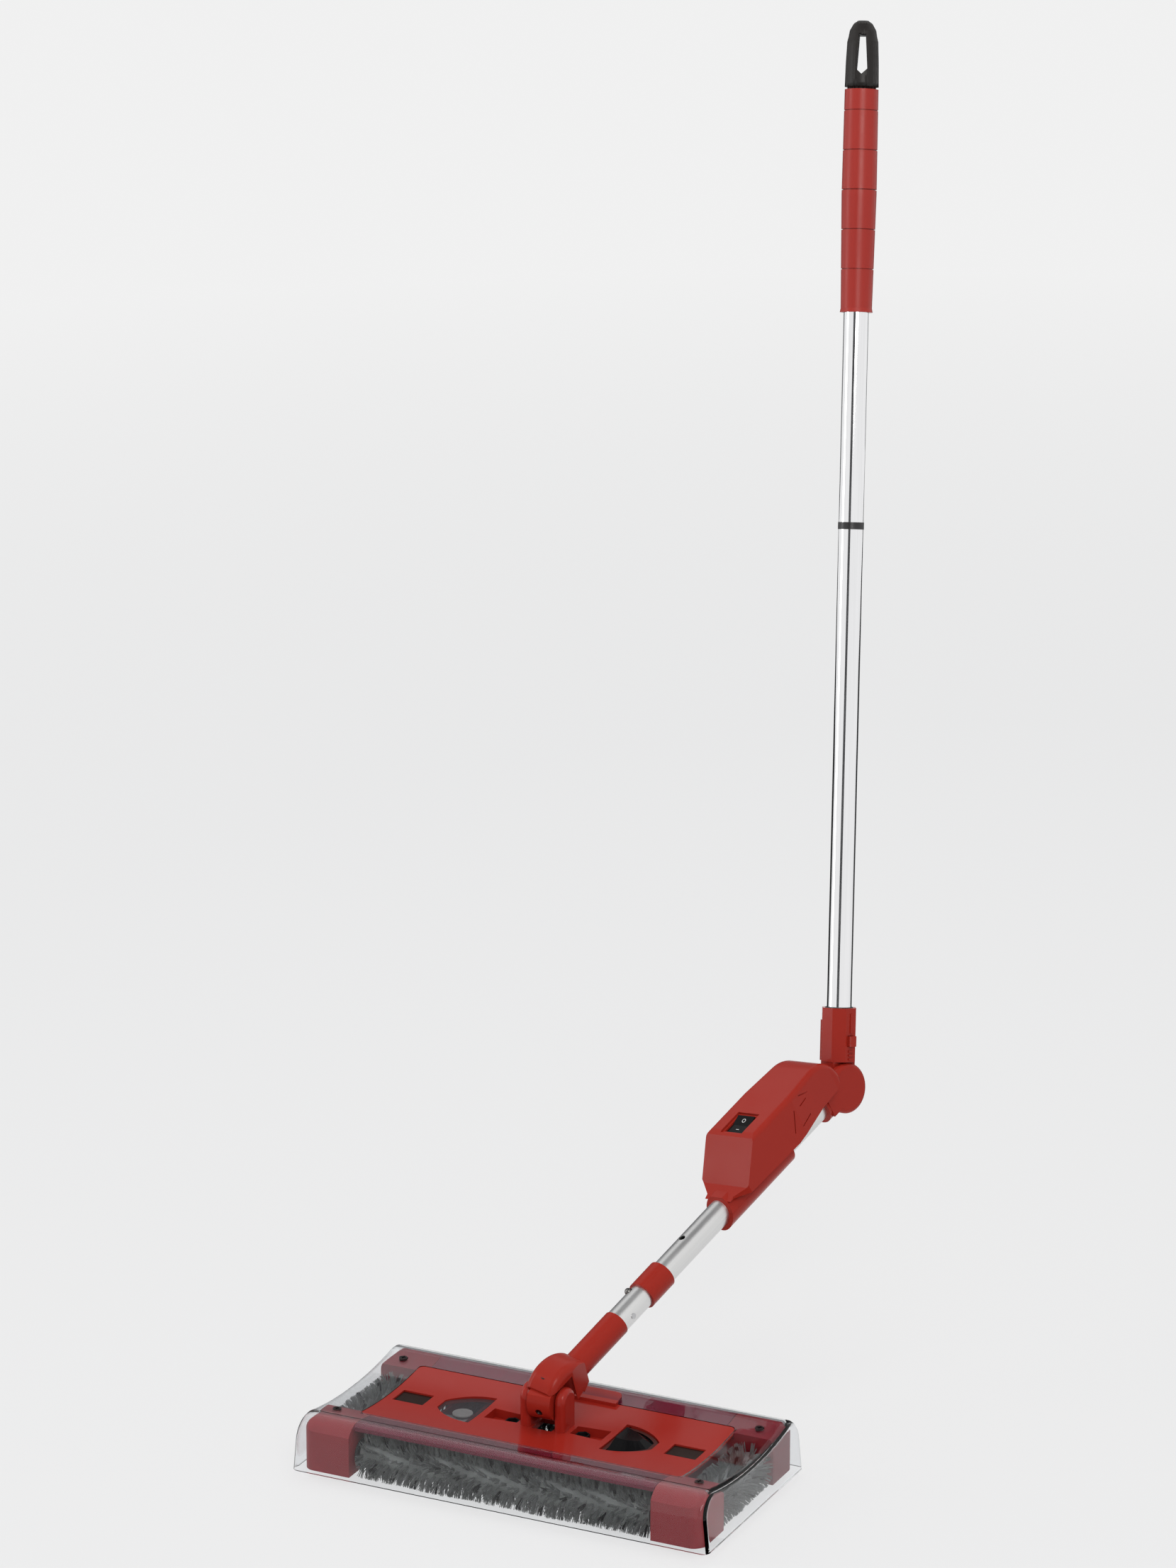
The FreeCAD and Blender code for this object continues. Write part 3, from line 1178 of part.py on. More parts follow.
def make_housing():
    """The shell over the tube: a flat sloping front with a narrow nose, flat top, and a humped tail."""
    shell = Piece("housing_body")
    side_view = outline(shell.sketch("YZ_Plane"), [
        (housing_nose, housing_hem), (clasp_end, housing_hem - 2), (clasp_end + 36, housing_hem + 3),
        (tail_end - 7, housing_hem + 3), (tail_end, housing_top - tail_round),
        (tail_end - tail_round, housing_top),
        (housing_brow + 5, housing_top), (housing_brow, housing_top - 1.5),
        (housing_brow - 24, housing_hem + 4.7)], {4: -tail_round})
    shell.pad(side_view, 2 * housing_half, both=True)
    waist = shell.sketch("XY_Plane")
    far = housing_half + 5
    for side in (1, -1):
        outline(waist, [
            (side * clasp_radius, housing_nose - 5), (side * clasp_radius, housing_nose + 4),
            (side * housing_half, housing_nose + 14), (side * housing_half, clasp_end + 10),
            (side * tail_half, tail_end - 8), (side * tail_half, tail_end + 5),
            (side * far, tail_end + 5), (side * far, housing_nose - 5)])
    shell.pocket(waist, 4 * housing_top, both=True)
    shell.fillet(housing_round, lambda e: abs(edge_middle(e).x) > tail_half.value - 0.2
                 and edge_middle(e).z > housing_top.value - 0.1)
    hem = housing_hem + 3
    skirt = rod("housing_skirt", clasp_radius, (0, housing_front, 0), clasp_end - housing_front, Y_AXIS)
    skirt_keep = Piece("skirt_keep")
    outline(skirt_keep.sketch("YZ_Plane"), [(housing_front + 5, 0), (clasp_end, 0), (clasp_end, hem),
                                            (housing_nose, hem)])
    skirt_keep.pad(skirt_keep.body.Group[-1], 2 * clasp_radius, both=True)
    nose = common("nose_solid", [skirt, skirt_keep.body])
    passage = rod("housing_passage", tube_radius, (0, housing_front - 5, 0), tail_end, Y_AXIS)
    pocket = box("switch_pocket", (-switch_half, switch_at - switch_length / 2, housing_top - switch_deep),
                 (switch_half, switch_at + switch_length / 2, housing_top + 5))
    inside = housing_half - housing_wall - 1.5
    roof = housing_top - switch_deep - housing_wall
    cavity = box("battery_space", (-inside, housing_brow + 2, tube_radius + 1), (inside, clasp_end + 10, roof))
    tail_wall = elbow_at - cheek_radius - 1 - housing_wall
    tail_inside = tail_half - housing_wall - 3
    tail_space = box("tail_space", (-tail_inside, clasp_end + 12, tube_radius + 3),
                     (tail_inside, tail_wall, housing_top - 2 * housing_wall))
    elbow_space = rod("elbow_space", cheek_radius + 0.8, (-cheek_outer - 0.6, elbow_at, 0),
                      2 * cheek_outer + 1.2, X_AXIS)
    ring_start = elbow_at - flange_gap - flange_length
    ring_space = rod("ring_space", flange_radius + seat_gap, (0, ring_start - seat_gap, 0),
                     2 * (flange_gap + flange_length), Y_AXIS)
    charge = rod("charging_socket", socket_bore, (-housing_half - 1, housing_brow - 9.5, housing_hem + 9),
                 socket_deep + 1, X_AXIS)
    node("battery_housing", cut("housing_cut", fuse("housing_solid", [shell.body, nose]),
                                [passage, pocket, cavity, tail_space, elbow_space, ring_space, charge]
                                + make_grooves()), roll_frame)


def make_clasp():
    """The half shell that clasps the tube from below, with a slanted front."""
    outer = rod("clasp_out", clasp_radius, (0, housing_front, 0), clasp_end - housing_front, Y_AXIS)
    keep = Piece("clasp_keep")
    outline(keep.sketch("YZ_Plane"), [(housing_front, -clasp_radius), (clasp_end, -clasp_radius),
                                      (clasp_end, -0.1), (housing_front + 5, -0.1)])
    keep.pad(keep.body.Group[-1], 2 * clasp_radius, both=True)
    inner = rod("clasp_in", tube_radius, (0, housing_front - 1, 0), tail_end, Y_AXIS)
    node("housing_clasp", cut("clasp_cut", common("clasp_half", [outer, keep.body]), [inner]), roll_frame)


def make_cheeks():
    """The fixed half of the elbow: two round cheeks on a ring at the end of the tube."""
    inner = knuckle_half + cheek_side
    cheeks = []
    for side in (1, -1):
        cheek = Piece("cheek_right" if side > 0 else "cheek_left")
        disc = circle(cheek.sketch("YZ_Plane", side * (inner + cheek_outer) / 2), (elbow_at, 0), cheek_radius)
        cheek.pad(disc, cheek_outer - inner, both=True)
        cheek.fillet(3.5, lambda e, side=side: edge_middle(e).x * side > inner.value + 1
                     and not runs_along(e, 0))
        cheeks.append(cheek.body)
    ring_end = elbow_at - flange_gap
    ring = rod("cheek_ring", flange_radius, (0, ring_end - flange_length, 0), flange_length, Y_AXIS)
    arms = box("cheek_arms", (-cheek_outer, ring_end - flange_length / 2, -8), (cheek_outer, elbow_at - 5, 8))
    gap = box("cheek_gap", (-inner, ring_end, -2 * cheek_radius), (inner, elbow_at + 40, 2 * cheek_radius))
    bore = rod("cheek_bore", tube_radius, (0, ring_end - 40, 0), 40, Y_AXIS)
    reach = cheek_outer - pin_cover
    pin_bore = rod("cheek_pin_bore", elbow_pin, (-reach, elbow_at, 0), 2 * reach, X_AXIS)
    node("elbow_cheeks", cut("cheeks_cut", fuse("cheeks_solid", cheeks + [ring, arms]),
                             [gap, bore, pin_bore]), roll_frame)


def make_battery():
    """The battery pack that lies along the tube inside the housing."""
    half = housing_half - housing_wall - 6
    node("battery_pack", box("battery_block", (-half, housing_brow + 4, tube_radius + 2),
                             (half, clasp_end + 8, housing_top - switch_deep - housing_wall - 1)), roll_frame)


def make_switch():
    """A black frame in the top of the housing, and the rocker that tips on two pivots in it."""
    gap, wall, floor = 0.2, 1.8, 0.9
    low_y, high_y = switch_at - switch_length / 2 + gap, switch_at + switch_length / 2 - gap
    low_z, pivot_z = housing_top - switch_deep + gap, housing_top - 4
    half = switch_half - gap
    outer = box("switch_outer", (-half, low_y, low_z), (half, high_y, housing_top - 1.5))
    inner = box("switch_inner", (wall - half, low_y + wall, low_z + floor),
                (half - wall, high_y - wall, housing_top))
    pivot_bore = rod("pivot_bore", rocker_pin + run_gap, (-half + 0.5, switch_at, pivot_z),
                     2 * half - 1, X_AXIS)
    node("switch_frame", cut("switch_frame_cut", outer, [inner, pivot_bore]), roll_frame)
    key = Piece("rocker_body")
    long_half_key = switch_length / 2 - wall - 0.8
    key_half = half - wall - 0.4
    outline(key.sketch("YZ_Plane"), [
        (-long_half_key * 0.8, -1.9), (long_half_key * 0.8, -1.9), (long_half_key, 2.6), (0, 1.4),
        (-long_half_key, 2.6)])
    key.pad(key.body.Group[-1], 2 * key_half, both=True)
    pivots = rod("rocker_pivots", rocker_pin, (-half + 0.7, 0, 0), 2 * half - 1.4, X_AXIS)
    rocker = fuse("rocker_solid", [key.body, pivots])
    place(rocker, (0, switch_at, pivot_z), (1, 0, 0, rocker_lean_angle))
    node("rocker", rocker, roll_frame)


make_housing()
make_clasp()
make_cheeks()
make_battery()
make_switch()

# ---------------------------------------------------------------- elbow and upper pole


def make_knuckle():
    """The moving half of the elbow, between the cheeks, with the socket for the upper pole."""
    barrel = rod("knuckle_barrel", knuckle_radius, (-knuckle_half, 0, 0), 2 * knuckle_half, X_AXIS)
    web = box("knuckle_web", (-knuckle_half, 0, -socket_radius + 1),
              (knuckle_half, socket_start + 2, socket_radius - 1))
    socket = Piece("socket_body")
    face = socket.sketch("XZ_Plane", -socket_start)
    apothem = socket_radius
    corner = apothem * (root(as_size(2)) - 1)
    outline(face, [(-corner, -apothem), (corner, -apothem), (apothem, -corner), (apothem, corner),
                   (corner, apothem), (-corner, apothem), (-apothem, corner), (-apothem, -corner)])
    socket.pad(face, socket_end - socket_start, back=True)
    side_plate = box("socket_plate", (-apothem - 1.3, socket_start, -corner),
                     (-apothem + 1, socket_end - 10, corner))
    lug = box("socket_lug", (-apothem - 1, socket_end - 3.2, -1.5), (-apothem + 1, socket_end - 1.2, 1.5))
    teeth = [box(f"socket_tooth{i}", (apothem - 1, socket_start + 1.5 + i * 3, -2.2),
                 (apothem + 0.9, socket_start + 3 + i * 3, 2.2)) for i in range(3)]
    spine = box("socket_spine", (apothem - 1, latch_at + 6, -1), (apothem + 0.7, socket_end - 4, 1))
    bore = rod("socket_bore", tube_radius, (0, socket_start + 4, 0), socket_end, Y_AXIS)
    pin_bore = rod("knuckle_pin_bore", elbow_pin + run_gap, (-knuckle_half - 1, 0, 0),
                   2 * knuckle_half + 2, X_AXIS)
    window = box("latch_window", (tube_radius - 0.5, latch_at - 4.3, -3.3),
                 (socket_radius + 5, latch_at + 4.3, 3.3))
    solid = fuse("knuckle_solid", [barrel, web, socket.body, side_plate, lug, spine] + teeth)
    node("elbow_knuckle", cut("knuckle_cut", solid, [bore, pin_bore, window]), elbow_frame)
    reach = cheek_outer - pin_cover
    node("elbow_pin", rod("elbow_pin_rod", elbow_pin, (-reach, elbow_at, 0), 2 * reach, X_AXIS), roll_frame)


def make_latch():
    """The small button on the socket that frees the elbow."""
    node("elbow_latch", box("latch_box", (socket_radius - 0.2, latch_at - 4, -3),
                            (socket_radius + 3.2, latch_at + 4, 3)), elbow_frame)


def make_upper_tubes():
    node("upper_tube", tube("upper", socket_start + 4.2, ring_at), elbow_frame)
    node("top_tube", tube("top", ring_at, grip_start + grip_seat), elbow_frame)
    ring = rod("joint_ring_out", tube_radius + 0.4, (0, ring_at - ring_half, 0), 2 * ring_half, Y_AXIS)
    ring_in = rod("joint_ring_in", tube_radius, (0, ring_at - 10, 0), 20, Y_AXIS)
    node("joint_ring", cut("joint_ring_cut", ring, [ring_in]), elbow_frame)


def make_grip():
    """The grip: a slightly barrelled sleeve with shallow ring grooves and a flared lower lip."""
    sleeve = Piece("grip_body")
    low = grip_radius - 1.4
    seat = grip_start + grip_seat
    swell = grip_start + (grip_end - grip_start) * 0.53
    outline(sleeve.sketch("XY_Plane"), [
        (tube_radius, grip_start), (low + 0.6, grip_start), (low, grip_start + 3), (grip_radius, swell),
        (grip_radius - 0.5, grip_end), (0, grip_end), (0, seat), (tube_radius, seat)])
    sleeve.revolve(sleeve.body.Group[-1])
    grooves = sleeve.sketch("XY_Plane")
    for i in range(5):
        at = grip_end - groove_step * (i + 0.53)
        floor = grip_radius - 1.3 - 0.12 * i
        outline(grooves, [(floor, at - 0.4), (grip_radius + 1, at - 0.4), (grip_radius + 1, at + 0.4),
                          (floor, at + 0.4)])
    sleeve.revolve(grooves, "Groove")
    node("grip", sleeve.body, elbow_frame)


def make_cap():
    """The hanging cap: a bullet-shaped end with a tapered slot through it."""
    cap = Piece("cap_body")
    seat = cap_radius - 2
    outline(cap.sketch("XY_Plane"), [
        (0, cap_start - 2), (seat, cap_start - 2), (seat, cap_start), (cap_radius, cap_start),
        (cap_radius, cap_end - 16), (cap_radius - 2, cap_end - 7.5), (cap_radius - 5.5, cap_end - 2),
        (4, cap_end), (0, cap_end)])
    cap.revolve(cap.body.Group[-1])
    slot_half = cap_radius / 3
    slot = outline(cap.sketch("XY_Plane"), [
        (-slot_half, cap_start + 13), (0, cap_start + 9), (slot_half, cap_start + 13),
        (slot_half * 0.6, cap_end - 11), (-slot_half * 0.6, cap_end - 11)])
    cap.pocket(slot, 4 * cap_radius, both=True)
    place(cap.body, turn=(0, 1, 0, cap_turn_angle))
    node("hanging_cap", cap.body, elbow_frame)


make_knuckle()
make_latch()
make_upper_tubes()
make_grip()
make_cap()

# ---------------------------------------------------------------- check and export


def check_and_export():
    doc.recompute()
    failed = [thing.Name for thing in doc.Objects
              if "Invalid" in thing.State or "Error" in thing.State]
    failed += [name for name, thing in nodes.items()
               if thing.Shape.isNull() or not thing.Shape.isValid() or not thing.Shape.Solids]
    if failed:
        raise RuntimeError("not sound: " + ", ".join(failed))
    os.makedirs("parts", exist_ok=True)
    for name, thing in sorted(nodes.items()):
        thing.Shape.exportStep(os.path.join("parts", name + ".step"))
    print(len(nodes), "nodes written")


check_and_export()
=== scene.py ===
# %% [markdown]
# # A swivel carpet sweeper, dressed for the studio
#
# The hard parts of this sweeper come from a CAD model: a clear cover over four geared brushes, a red top
# plate, a universal joint, a folding pole with its battery housing, and a grip. This lesson loads those
# parts, gives each one the finish that it has on the real machine, and adds what a CAD system does badly,
# such as bristles. All lengths are in metres and +Z is up.

# %% Load the model
import math
import random

import bmesh
import bpy
from mathutils import Matrix, Vector


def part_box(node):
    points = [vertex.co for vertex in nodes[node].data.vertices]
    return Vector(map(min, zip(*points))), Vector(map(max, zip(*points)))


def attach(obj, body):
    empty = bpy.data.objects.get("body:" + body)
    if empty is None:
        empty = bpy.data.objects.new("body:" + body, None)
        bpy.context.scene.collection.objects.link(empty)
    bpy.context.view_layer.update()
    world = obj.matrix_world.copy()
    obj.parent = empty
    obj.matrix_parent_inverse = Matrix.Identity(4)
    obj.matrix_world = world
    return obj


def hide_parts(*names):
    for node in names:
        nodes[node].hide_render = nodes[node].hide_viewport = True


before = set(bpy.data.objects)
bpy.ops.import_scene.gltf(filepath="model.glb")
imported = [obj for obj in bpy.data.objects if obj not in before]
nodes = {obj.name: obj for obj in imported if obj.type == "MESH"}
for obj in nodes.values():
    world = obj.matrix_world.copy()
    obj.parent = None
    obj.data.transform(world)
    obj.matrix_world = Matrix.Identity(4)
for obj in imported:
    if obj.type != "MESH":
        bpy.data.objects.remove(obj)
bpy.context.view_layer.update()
mm = 0.001
print("parts from CAD:", len(nodes))

# %% [markdown]
# ## Camera
#
# A long lens a few metres away keeps the verticals of the pole nearly parallel. The camera stands to the
# right of the head and a little above it. Its place is worked out from three things that are easy to picture:
# its bearing, how far it looks down, and where the middle of the head falls in its view.

# %% The camera
BEARING = math.radians(26.0)
LOOK_DOWN = math.radians(17.5)
LENS, SENSOR = 130.2, 36
HEAD_IN_VIEW = (-0.0295, -0.5056, 4.145)

right = Vector((math.cos(BEARING), math.sin(BEARING), 0))
ahead = Vector((-math.sin(BEARING) * math.cos(LOOK_DOWN), math.cos(BEARING) * math.cos(LOOK_DOWN),
                -math.sin(LOOK_DOWN)))
up = right.cross(ahead)
place = -(right * HEAD_IN_VIEW[0] + up * HEAD_IN_VIEW[1] + ahead * HEAD_IN_VIEW[2])

camera_data = bpy.data.cameras.new("studio_camera")
camera_data.lens = LENS
camera_data.sensor_width = SENSOR
camera_data.sensor_fit = "AUTO"
camera_data.clip_end = 60
camera = bpy.data.objects.new("studio_camera", camera_data)
bpy.context.collection.objects.link(camera)
camera.matrix_world = Matrix.Translation(place) @ Matrix((right, up, -ahead)).transposed().to_4x4()
bpy.context.scene.camera = camera
bpy.context.scene.view_settings.view_transform = "Standard"
print("camera at", [round(v, 3) for v in place])

# %% [markdown]
# ## Working with nodes
#
# Every material and the studio's air are networks of nodes. The same few moves come back all the time, so
# they get short names here: wire two sockets, set sockets by name, and add a math, range or mix node.


# %% Helpers for node trees
def wire(tree, source, target):
    tree.links.new(source, target)


def set_sockets(node, **values):
    """Sets a node's sockets; a space in a socket's name is written as an underscore."""
    for name, value in values.items():
        node.inputs[name.replace("_", " ")].default_value = value


def math_of(tree, kind, a, b):
    """A math node; each of a and b is a socket or a number."""
    node = tree.nodes.new("ShaderNodeMath")
    node.operation = kind
    for socket, value in zip(node.inputs, (a, b)):
        if isinstance(value, (int, float)):
            socket.default_value = value
        else:
            wire(tree, value, socket)
    return node.outputs[0]


def spread(tree, value, low, high, to_low=0.0, to_high=1.0):
    """Maps a range of a value to another, and clamps it."""
    node = tree.nodes.new("ShaderNodeMapRange")
    set_sockets(node, From_Min=low, From_Max=high, To_Min=to_low, To_Max=to_high)
    wire(tree, value, node.inputs["Value"])
    return node.outputs["Result"]


def either_shader(tree, choice, first, second):
    """Shows the first shader where the choice is 0 and the second where it is 1."""
    node = tree.nodes.new("ShaderNodeMixShader")
    wire(tree, choice, node.inputs["Fac"])
    wire(tree, first, node.inputs[1])
    wire(tree, second, node.inputs[2])
    return node.outputs[0]


print("helpers:", [helper.__name__ for helper in (wire, set_sockets, math_of, spread, either_shader)])

# %% [markdown]
# ## Studio
#
# A pale sweep and large soft lamps. The floor and the surroundings are shown to the camera, to reflections
# and through clear parts in the same pale grey, so that chrome and clear plastic have something pale to show.
# Light itself meets a plain diffuse floor and a weaker air, which keep the light on the object at an even
# level and leave its soft shadow on the floor near it. Further out the floor turns to the flat grey, so that
# no horizon shows.

# %% The air round the object
PALE = 0.875
AIR_COLOUR, AIR_LIGHT = (0.93, 0.95, 1.0, 1), 0.42


def grey_of(level):
    return (level, level, level, 1)


def seen_by_camera_or_gloss(tree):
    """A mask that is 1 where the camera, a reflection or a clear part looks at this surface."""
    path = tree.nodes.new("ShaderNodeLightPath")
    straight = math_of(tree, "MAXIMUM", path.outputs["Is Camera Ray"], path.outputs["Is Glossy Ray"])
    return math_of(tree, "MAXIMUM", straight, path.outputs["Is Transmission Ray"])


world = bpy.data.worlds.new("studio_air")
bpy.context.scene.world = world
world.use_nodes = True
air = world.node_tree
lit = air.nodes["Background"]
set_sockets(lit, Color=AIR_COLOUR, Strength=AIR_LIGHT)
shown = air.nodes.new("ShaderNodeBackground")
set_sockets(shown, Color=grey_of(PALE), Strength=1.0)
wire(air, either_shader(air, seen_by_camera_or_gloss(air), lit.outputs[0], shown.outputs[0]),
     air.nodes["World Output"].inputs["Surface"])
print("air:", len(air.nodes), "nodes")

# %% The floor
FLOOR_SIZE, FLOOR_PLACE = 24, (0, 1.0, -0.0006)
SHADOW_SHARE = 0.22
FADE_FROM, FADE_TO = 1.0, 3.2


def sweep_material(name, level, shadow):
    """A floor that shows a flat tone, with a little of its own shading near the object for the shadow."""
    material = bpy.data.materials.new(name)
    material.use_nodes = True
    tree = material.node_tree
    surface = tree.nodes["Principled BSDF"]
    set_sockets(surface, Base_Color=grey_of(0.8), Roughness=1, Specular_IOR_Level=0)
    flat = tree.nodes.new("ShaderNodeEmission")
    set_sockets(flat, Color=grey_of(level))
    where = tree.nodes.new("ShaderNodeTexCoord")
    away = tree.nodes.new("ShaderNodeVectorMath")
    away.operation = "LENGTH"
    wire(tree, where.outputs["Object"], away.inputs[0])
    flatness = spread(tree, away.outputs["Value"], FADE_FROM, FADE_TO, 1 - shadow, 1.0)
    shown_flat = math_of(tree, "MULTIPLY", seen_by_camera_or_gloss(tree), flatness)
    wire(tree, either_shader(tree, shown_flat, surface.outputs[0], flat.outputs[0]),
         tree.nodes["Material Output"].inputs["Surface"])
    return material


def deselect_all():
    bpy.ops.object.select_all(action="DESELECT")


deselect_all()
bpy.ops.mesh.primitive_plane_add(size=FLOOR_SIZE, location=FLOOR_PLACE)
floor = bpy.context.object
floor.name = "pale_floor"
floor.data.materials.append(sweep_material("pale_sweep", PALE, SHADOW_SHARE))
print("floor", floor.dimensions[:])

# %% [markdown]
# ### Lamps
#
# The main lamp stands high on the camera's side. A tall strip lights the left sides, a lamp overhead lights
# the flat top of the head, and a weak one behind lifts the far edges. The overhead lamp is hidden from
# reflections, because the satin tube mirrors what is straight above it and would show a white band.


# %% Lamps
def soft_lamp(name, at, towards, size, watts, colour=(1, 1, 1)):
    """A rectangular softbox that points at a place."""
    data = bpy.data.lights.new(name, "AREA")
    data.shape = "RECTANGLE"
    data.size, data.size_y = size
    data.energy = watts
    data.color = colour
    lamp = bpy.data.objects.new(name, data)
    bpy.context.collection.objects.link(lamp)
    lamp.location = at
    lamp.rotation_euler = (Vector(towards) - Vector(at)).to_track_quat("-Z", "Y").to_euler()
    return lamp


soft_lamp("key_box", at=(1.6, -1.9, 2.3), towards=(0.05, 0.1, 0.25), size=(1.4, 1.4), watts=34,
          colour=(1, 0.985, 0.96))
soft_lamp("left_strip", at=(-2.1, -0.8, 1.05), towards=(0.05, 0.2, 0.5), size=(0.7, 2.4), watts=14)
top_box = soft_lamp("top_box", at=(0.2, 0.5, 2.9), towards=(0.05, 0.15, 0.2), size=(1.8, 1.8), watts=22)
top_box.visible_glossy = False
soft_lamp("back_strip", at=(-0.95, 2.35, 1.95), towards=(0.05, 0.2, 0.1), size=(3.4, 0.7), watts=5)

# %% [markdown]
# ### Dark cards
#
# Polished tubes only look polished when something dark lies beside them, because a mirror in an empty white
# room is white. The camera looks down, so an upright tube mirrors the floor: dark cards lie on it to both
# sides of the pole, which draws the tube's dark edges, and two in front, one on the floor and one that
# stands, draw the grey line down its middle. The flat gloss of the cover and the plate is seen at a low
# angle, so it mirrors a card behind the object, and the satin tube mirrors a grey one overhead. Only
# reflections see the cards, but the one behind also shows in the cover's inner faces.

# %% Helpers for the cards
POLE_FOOT = Vector((0.06, 0.38, 0.0015))
level_ahead = Vector((ahead.x, ahead.y, 0)).normalized()


def way_at(bearing):
    """A level direction, in degrees to the right from straight behind the object."""
    turn = math.radians(bearing)
    return level_ahead * math.cos(turn) + right * math.sin(turn)


def paint_card(card, name, level):
    """Matt grey paint, and no part in anything but reflections."""
    card.name = name
    material = bpy.data.materials.new(name + "_paint")
    material.use_nodes = True
    set_sockets(material.node_tree.nodes["Principled BSDF"], Base_Color=grey_of(level), Roughness=1,
                Specular_IOR_Level=0)
    card.data.materials.append(material)
    card.visible_camera = False
    card.visible_diffuse = False
    card.visible_shadow = False
    card.visible_transmission = False


def floor_card(name, first, last, near, far, level):
    """A card on the floor that fills the bearings from first to last, seen from the foot of the pole."""
    deselect_all()
    bpy.ops.mesh.primitive_plane_add(size=1)
    card = bpy.context.object
    corners = ((first, near), (last, near), (first, far), (last, far))
    for vertex, (bearing, distance) in zip(card.data.vertices, corners):
        vertex.co = POLE_FOOT + way_at(bearing) * distance
    paint_card(card, name, level)


def standing_card(name, bearing, distance, size, height, level):
    """A card that stands at a bearing and faces the object."""
    way = way_at(bearing)
    deselect_all()
    bpy.ops.mesh.primitive_plane_add(size=1, location=way * distance + Vector((0, 0, height)),
                                     rotation=(math.pi / 2, 0, math.atan2(way.y, way.x) + math.pi / 2))
    bpy.context.object.scale = (*size, 1)
    paint_card(bpy.context.object, name, level)
    return bpy.context.object


print("straight behind the object:", [round(v, 3) for v in way_at(0)])

# %% Dark cards for the reflections
CARD_REACH = 3.2
floor_card("left_floor_card", first=-62, last=-12, near=0.28, far=CARD_REACH, level=0.03)
floor_card("right_floor_card", first=12, last=62, near=0.28, far=CARD_REACH, level=0.05)
floor_card("front_floor_card", first=178, last=206, near=0.45, far=CARD_REACH, level=0.03)
back_card = standing_card("back_card", bearing=0, distance=2.9, size=(4.4, 3.0), height=1.52, level=0.3)
back_card.visible_transmission = True
standing_card("streak_card", bearing=194, distance=2.0, size=(0.9, 1.5), height=1.1, level=0.12)
deselect_all()
bpy.ops.mesh.primitive_plane_add(size=2.2, location=(0.0, 0.6, 3.1), rotation=(math.pi, 0, 0))
paint_card(bpy.context.object, "ceiling_card", 0.35)

# %% [markdown]
# ## Effects that several finishes share
#
# Moulded plastic is never one colour: it flows in the mould, gathers dust in its corners and takes fine
# scratches. Each such effect is a node group with a few numbers, built once, so that every finish can use it
# at its own strength.


# %% Helpers for effects
def group_of(name, inputs, outputs):
    """A new node group with named inputs (name, kind, value) and outputs (name, kind)."""
    group = bpy.data.node_groups.new(name, "ShaderNodeTree")
    for label, kind, value in inputs:
        socket = group.interface.new_socket(label, in_out="INPUT", socket_type=kind)
        if value is not None:
            socket.default_value = value
    for label, kind in outputs:
        group.interface.new_socket(label, in_out="OUTPUT", socket_type=kind)
    return group, group.nodes.new("NodeGroupInput"), group.nodes.new("NodeGroupOutput")


def blend_colours(tree, factor, a, b):
    """A mix of two colours, each a socket or three numbers."""
    node = tree.nodes.new("ShaderNodeMix")
    node.data_type = "RGBA"
    wire(tree, factor, node.inputs["Factor"])
    for name, value in (("A", a), ("B", b)):
        socket = [s for s in node.inputs if s.name == name and s.type == "RGBA"][0]
        if isinstance(value, tuple):
            socket.default_value = (*value, 1)
        else:
            wire(tree, value, socket)
    return [s for s in node.outputs if s.type == "RGBA"][0]


def noise_at(tree, vector, scale, detail=3.0):
    """Noise at a place; its scale is a socket or a number."""
    node = tree.nodes.new("ShaderNodeTexNoise")
    node.inputs["Detail"].default_value = detail
    wire(tree, vector, node.inputs["Vector"])
    if isinstance(scale, float):
        node.inputs["Scale"].default_value = scale
    else:
        wire(tree, scale, node.inputs["Scale"])
    return node.outputs["Fac"]


print("effect helpers:", [helper.__name__ for helper in (group_of, blend_colours, noise_at)])


# %% Shared effect: the skin of a moulding
def make_moulded_skin():
    """Slow colour drift, fine grain height, and gloss that varies with handling."""
    group, entry, leave = group_of(
        "moulded_skin",
        [("Vector", "NodeSocketVector", None), ("Drift", "NodeSocketFloat", 0.1),
         ("Grain Scale", "NodeSocketFloat", 900.0)],
        [("Shade", "NodeSocketFloat"), ("Grain", "NodeSocketFloat"), ("Gloss Wear", "NodeSocketFloat")])
    vector = entry.outputs["Vector"]
    centred = math_of(group, "SUBTRACT", noise_at(group, vector, 9.0, 2.0), 0.5)
    drifted = math_of(group, "MULTIPLY", centred, entry.outputs["Drift"])
    wire(group, math_of(group, "ADD", drifted, 0.5), leave.inputs["Shade"])
    wire(group, noise_at(group, vector, entry.outputs["Grain Scale"], 2.0), leave.inputs["Grain"])
    handled = noise_at(group, vector, 38.0, 4.0)
    wire(group, spread(group, handled, 0.42, 0.66), leave.inputs["Gloss Wear"])
    return group


moulded_skin = make_moulded_skin()
print(moulded_skin.name, "has", len(moulded_skin.nodes), "nodes")


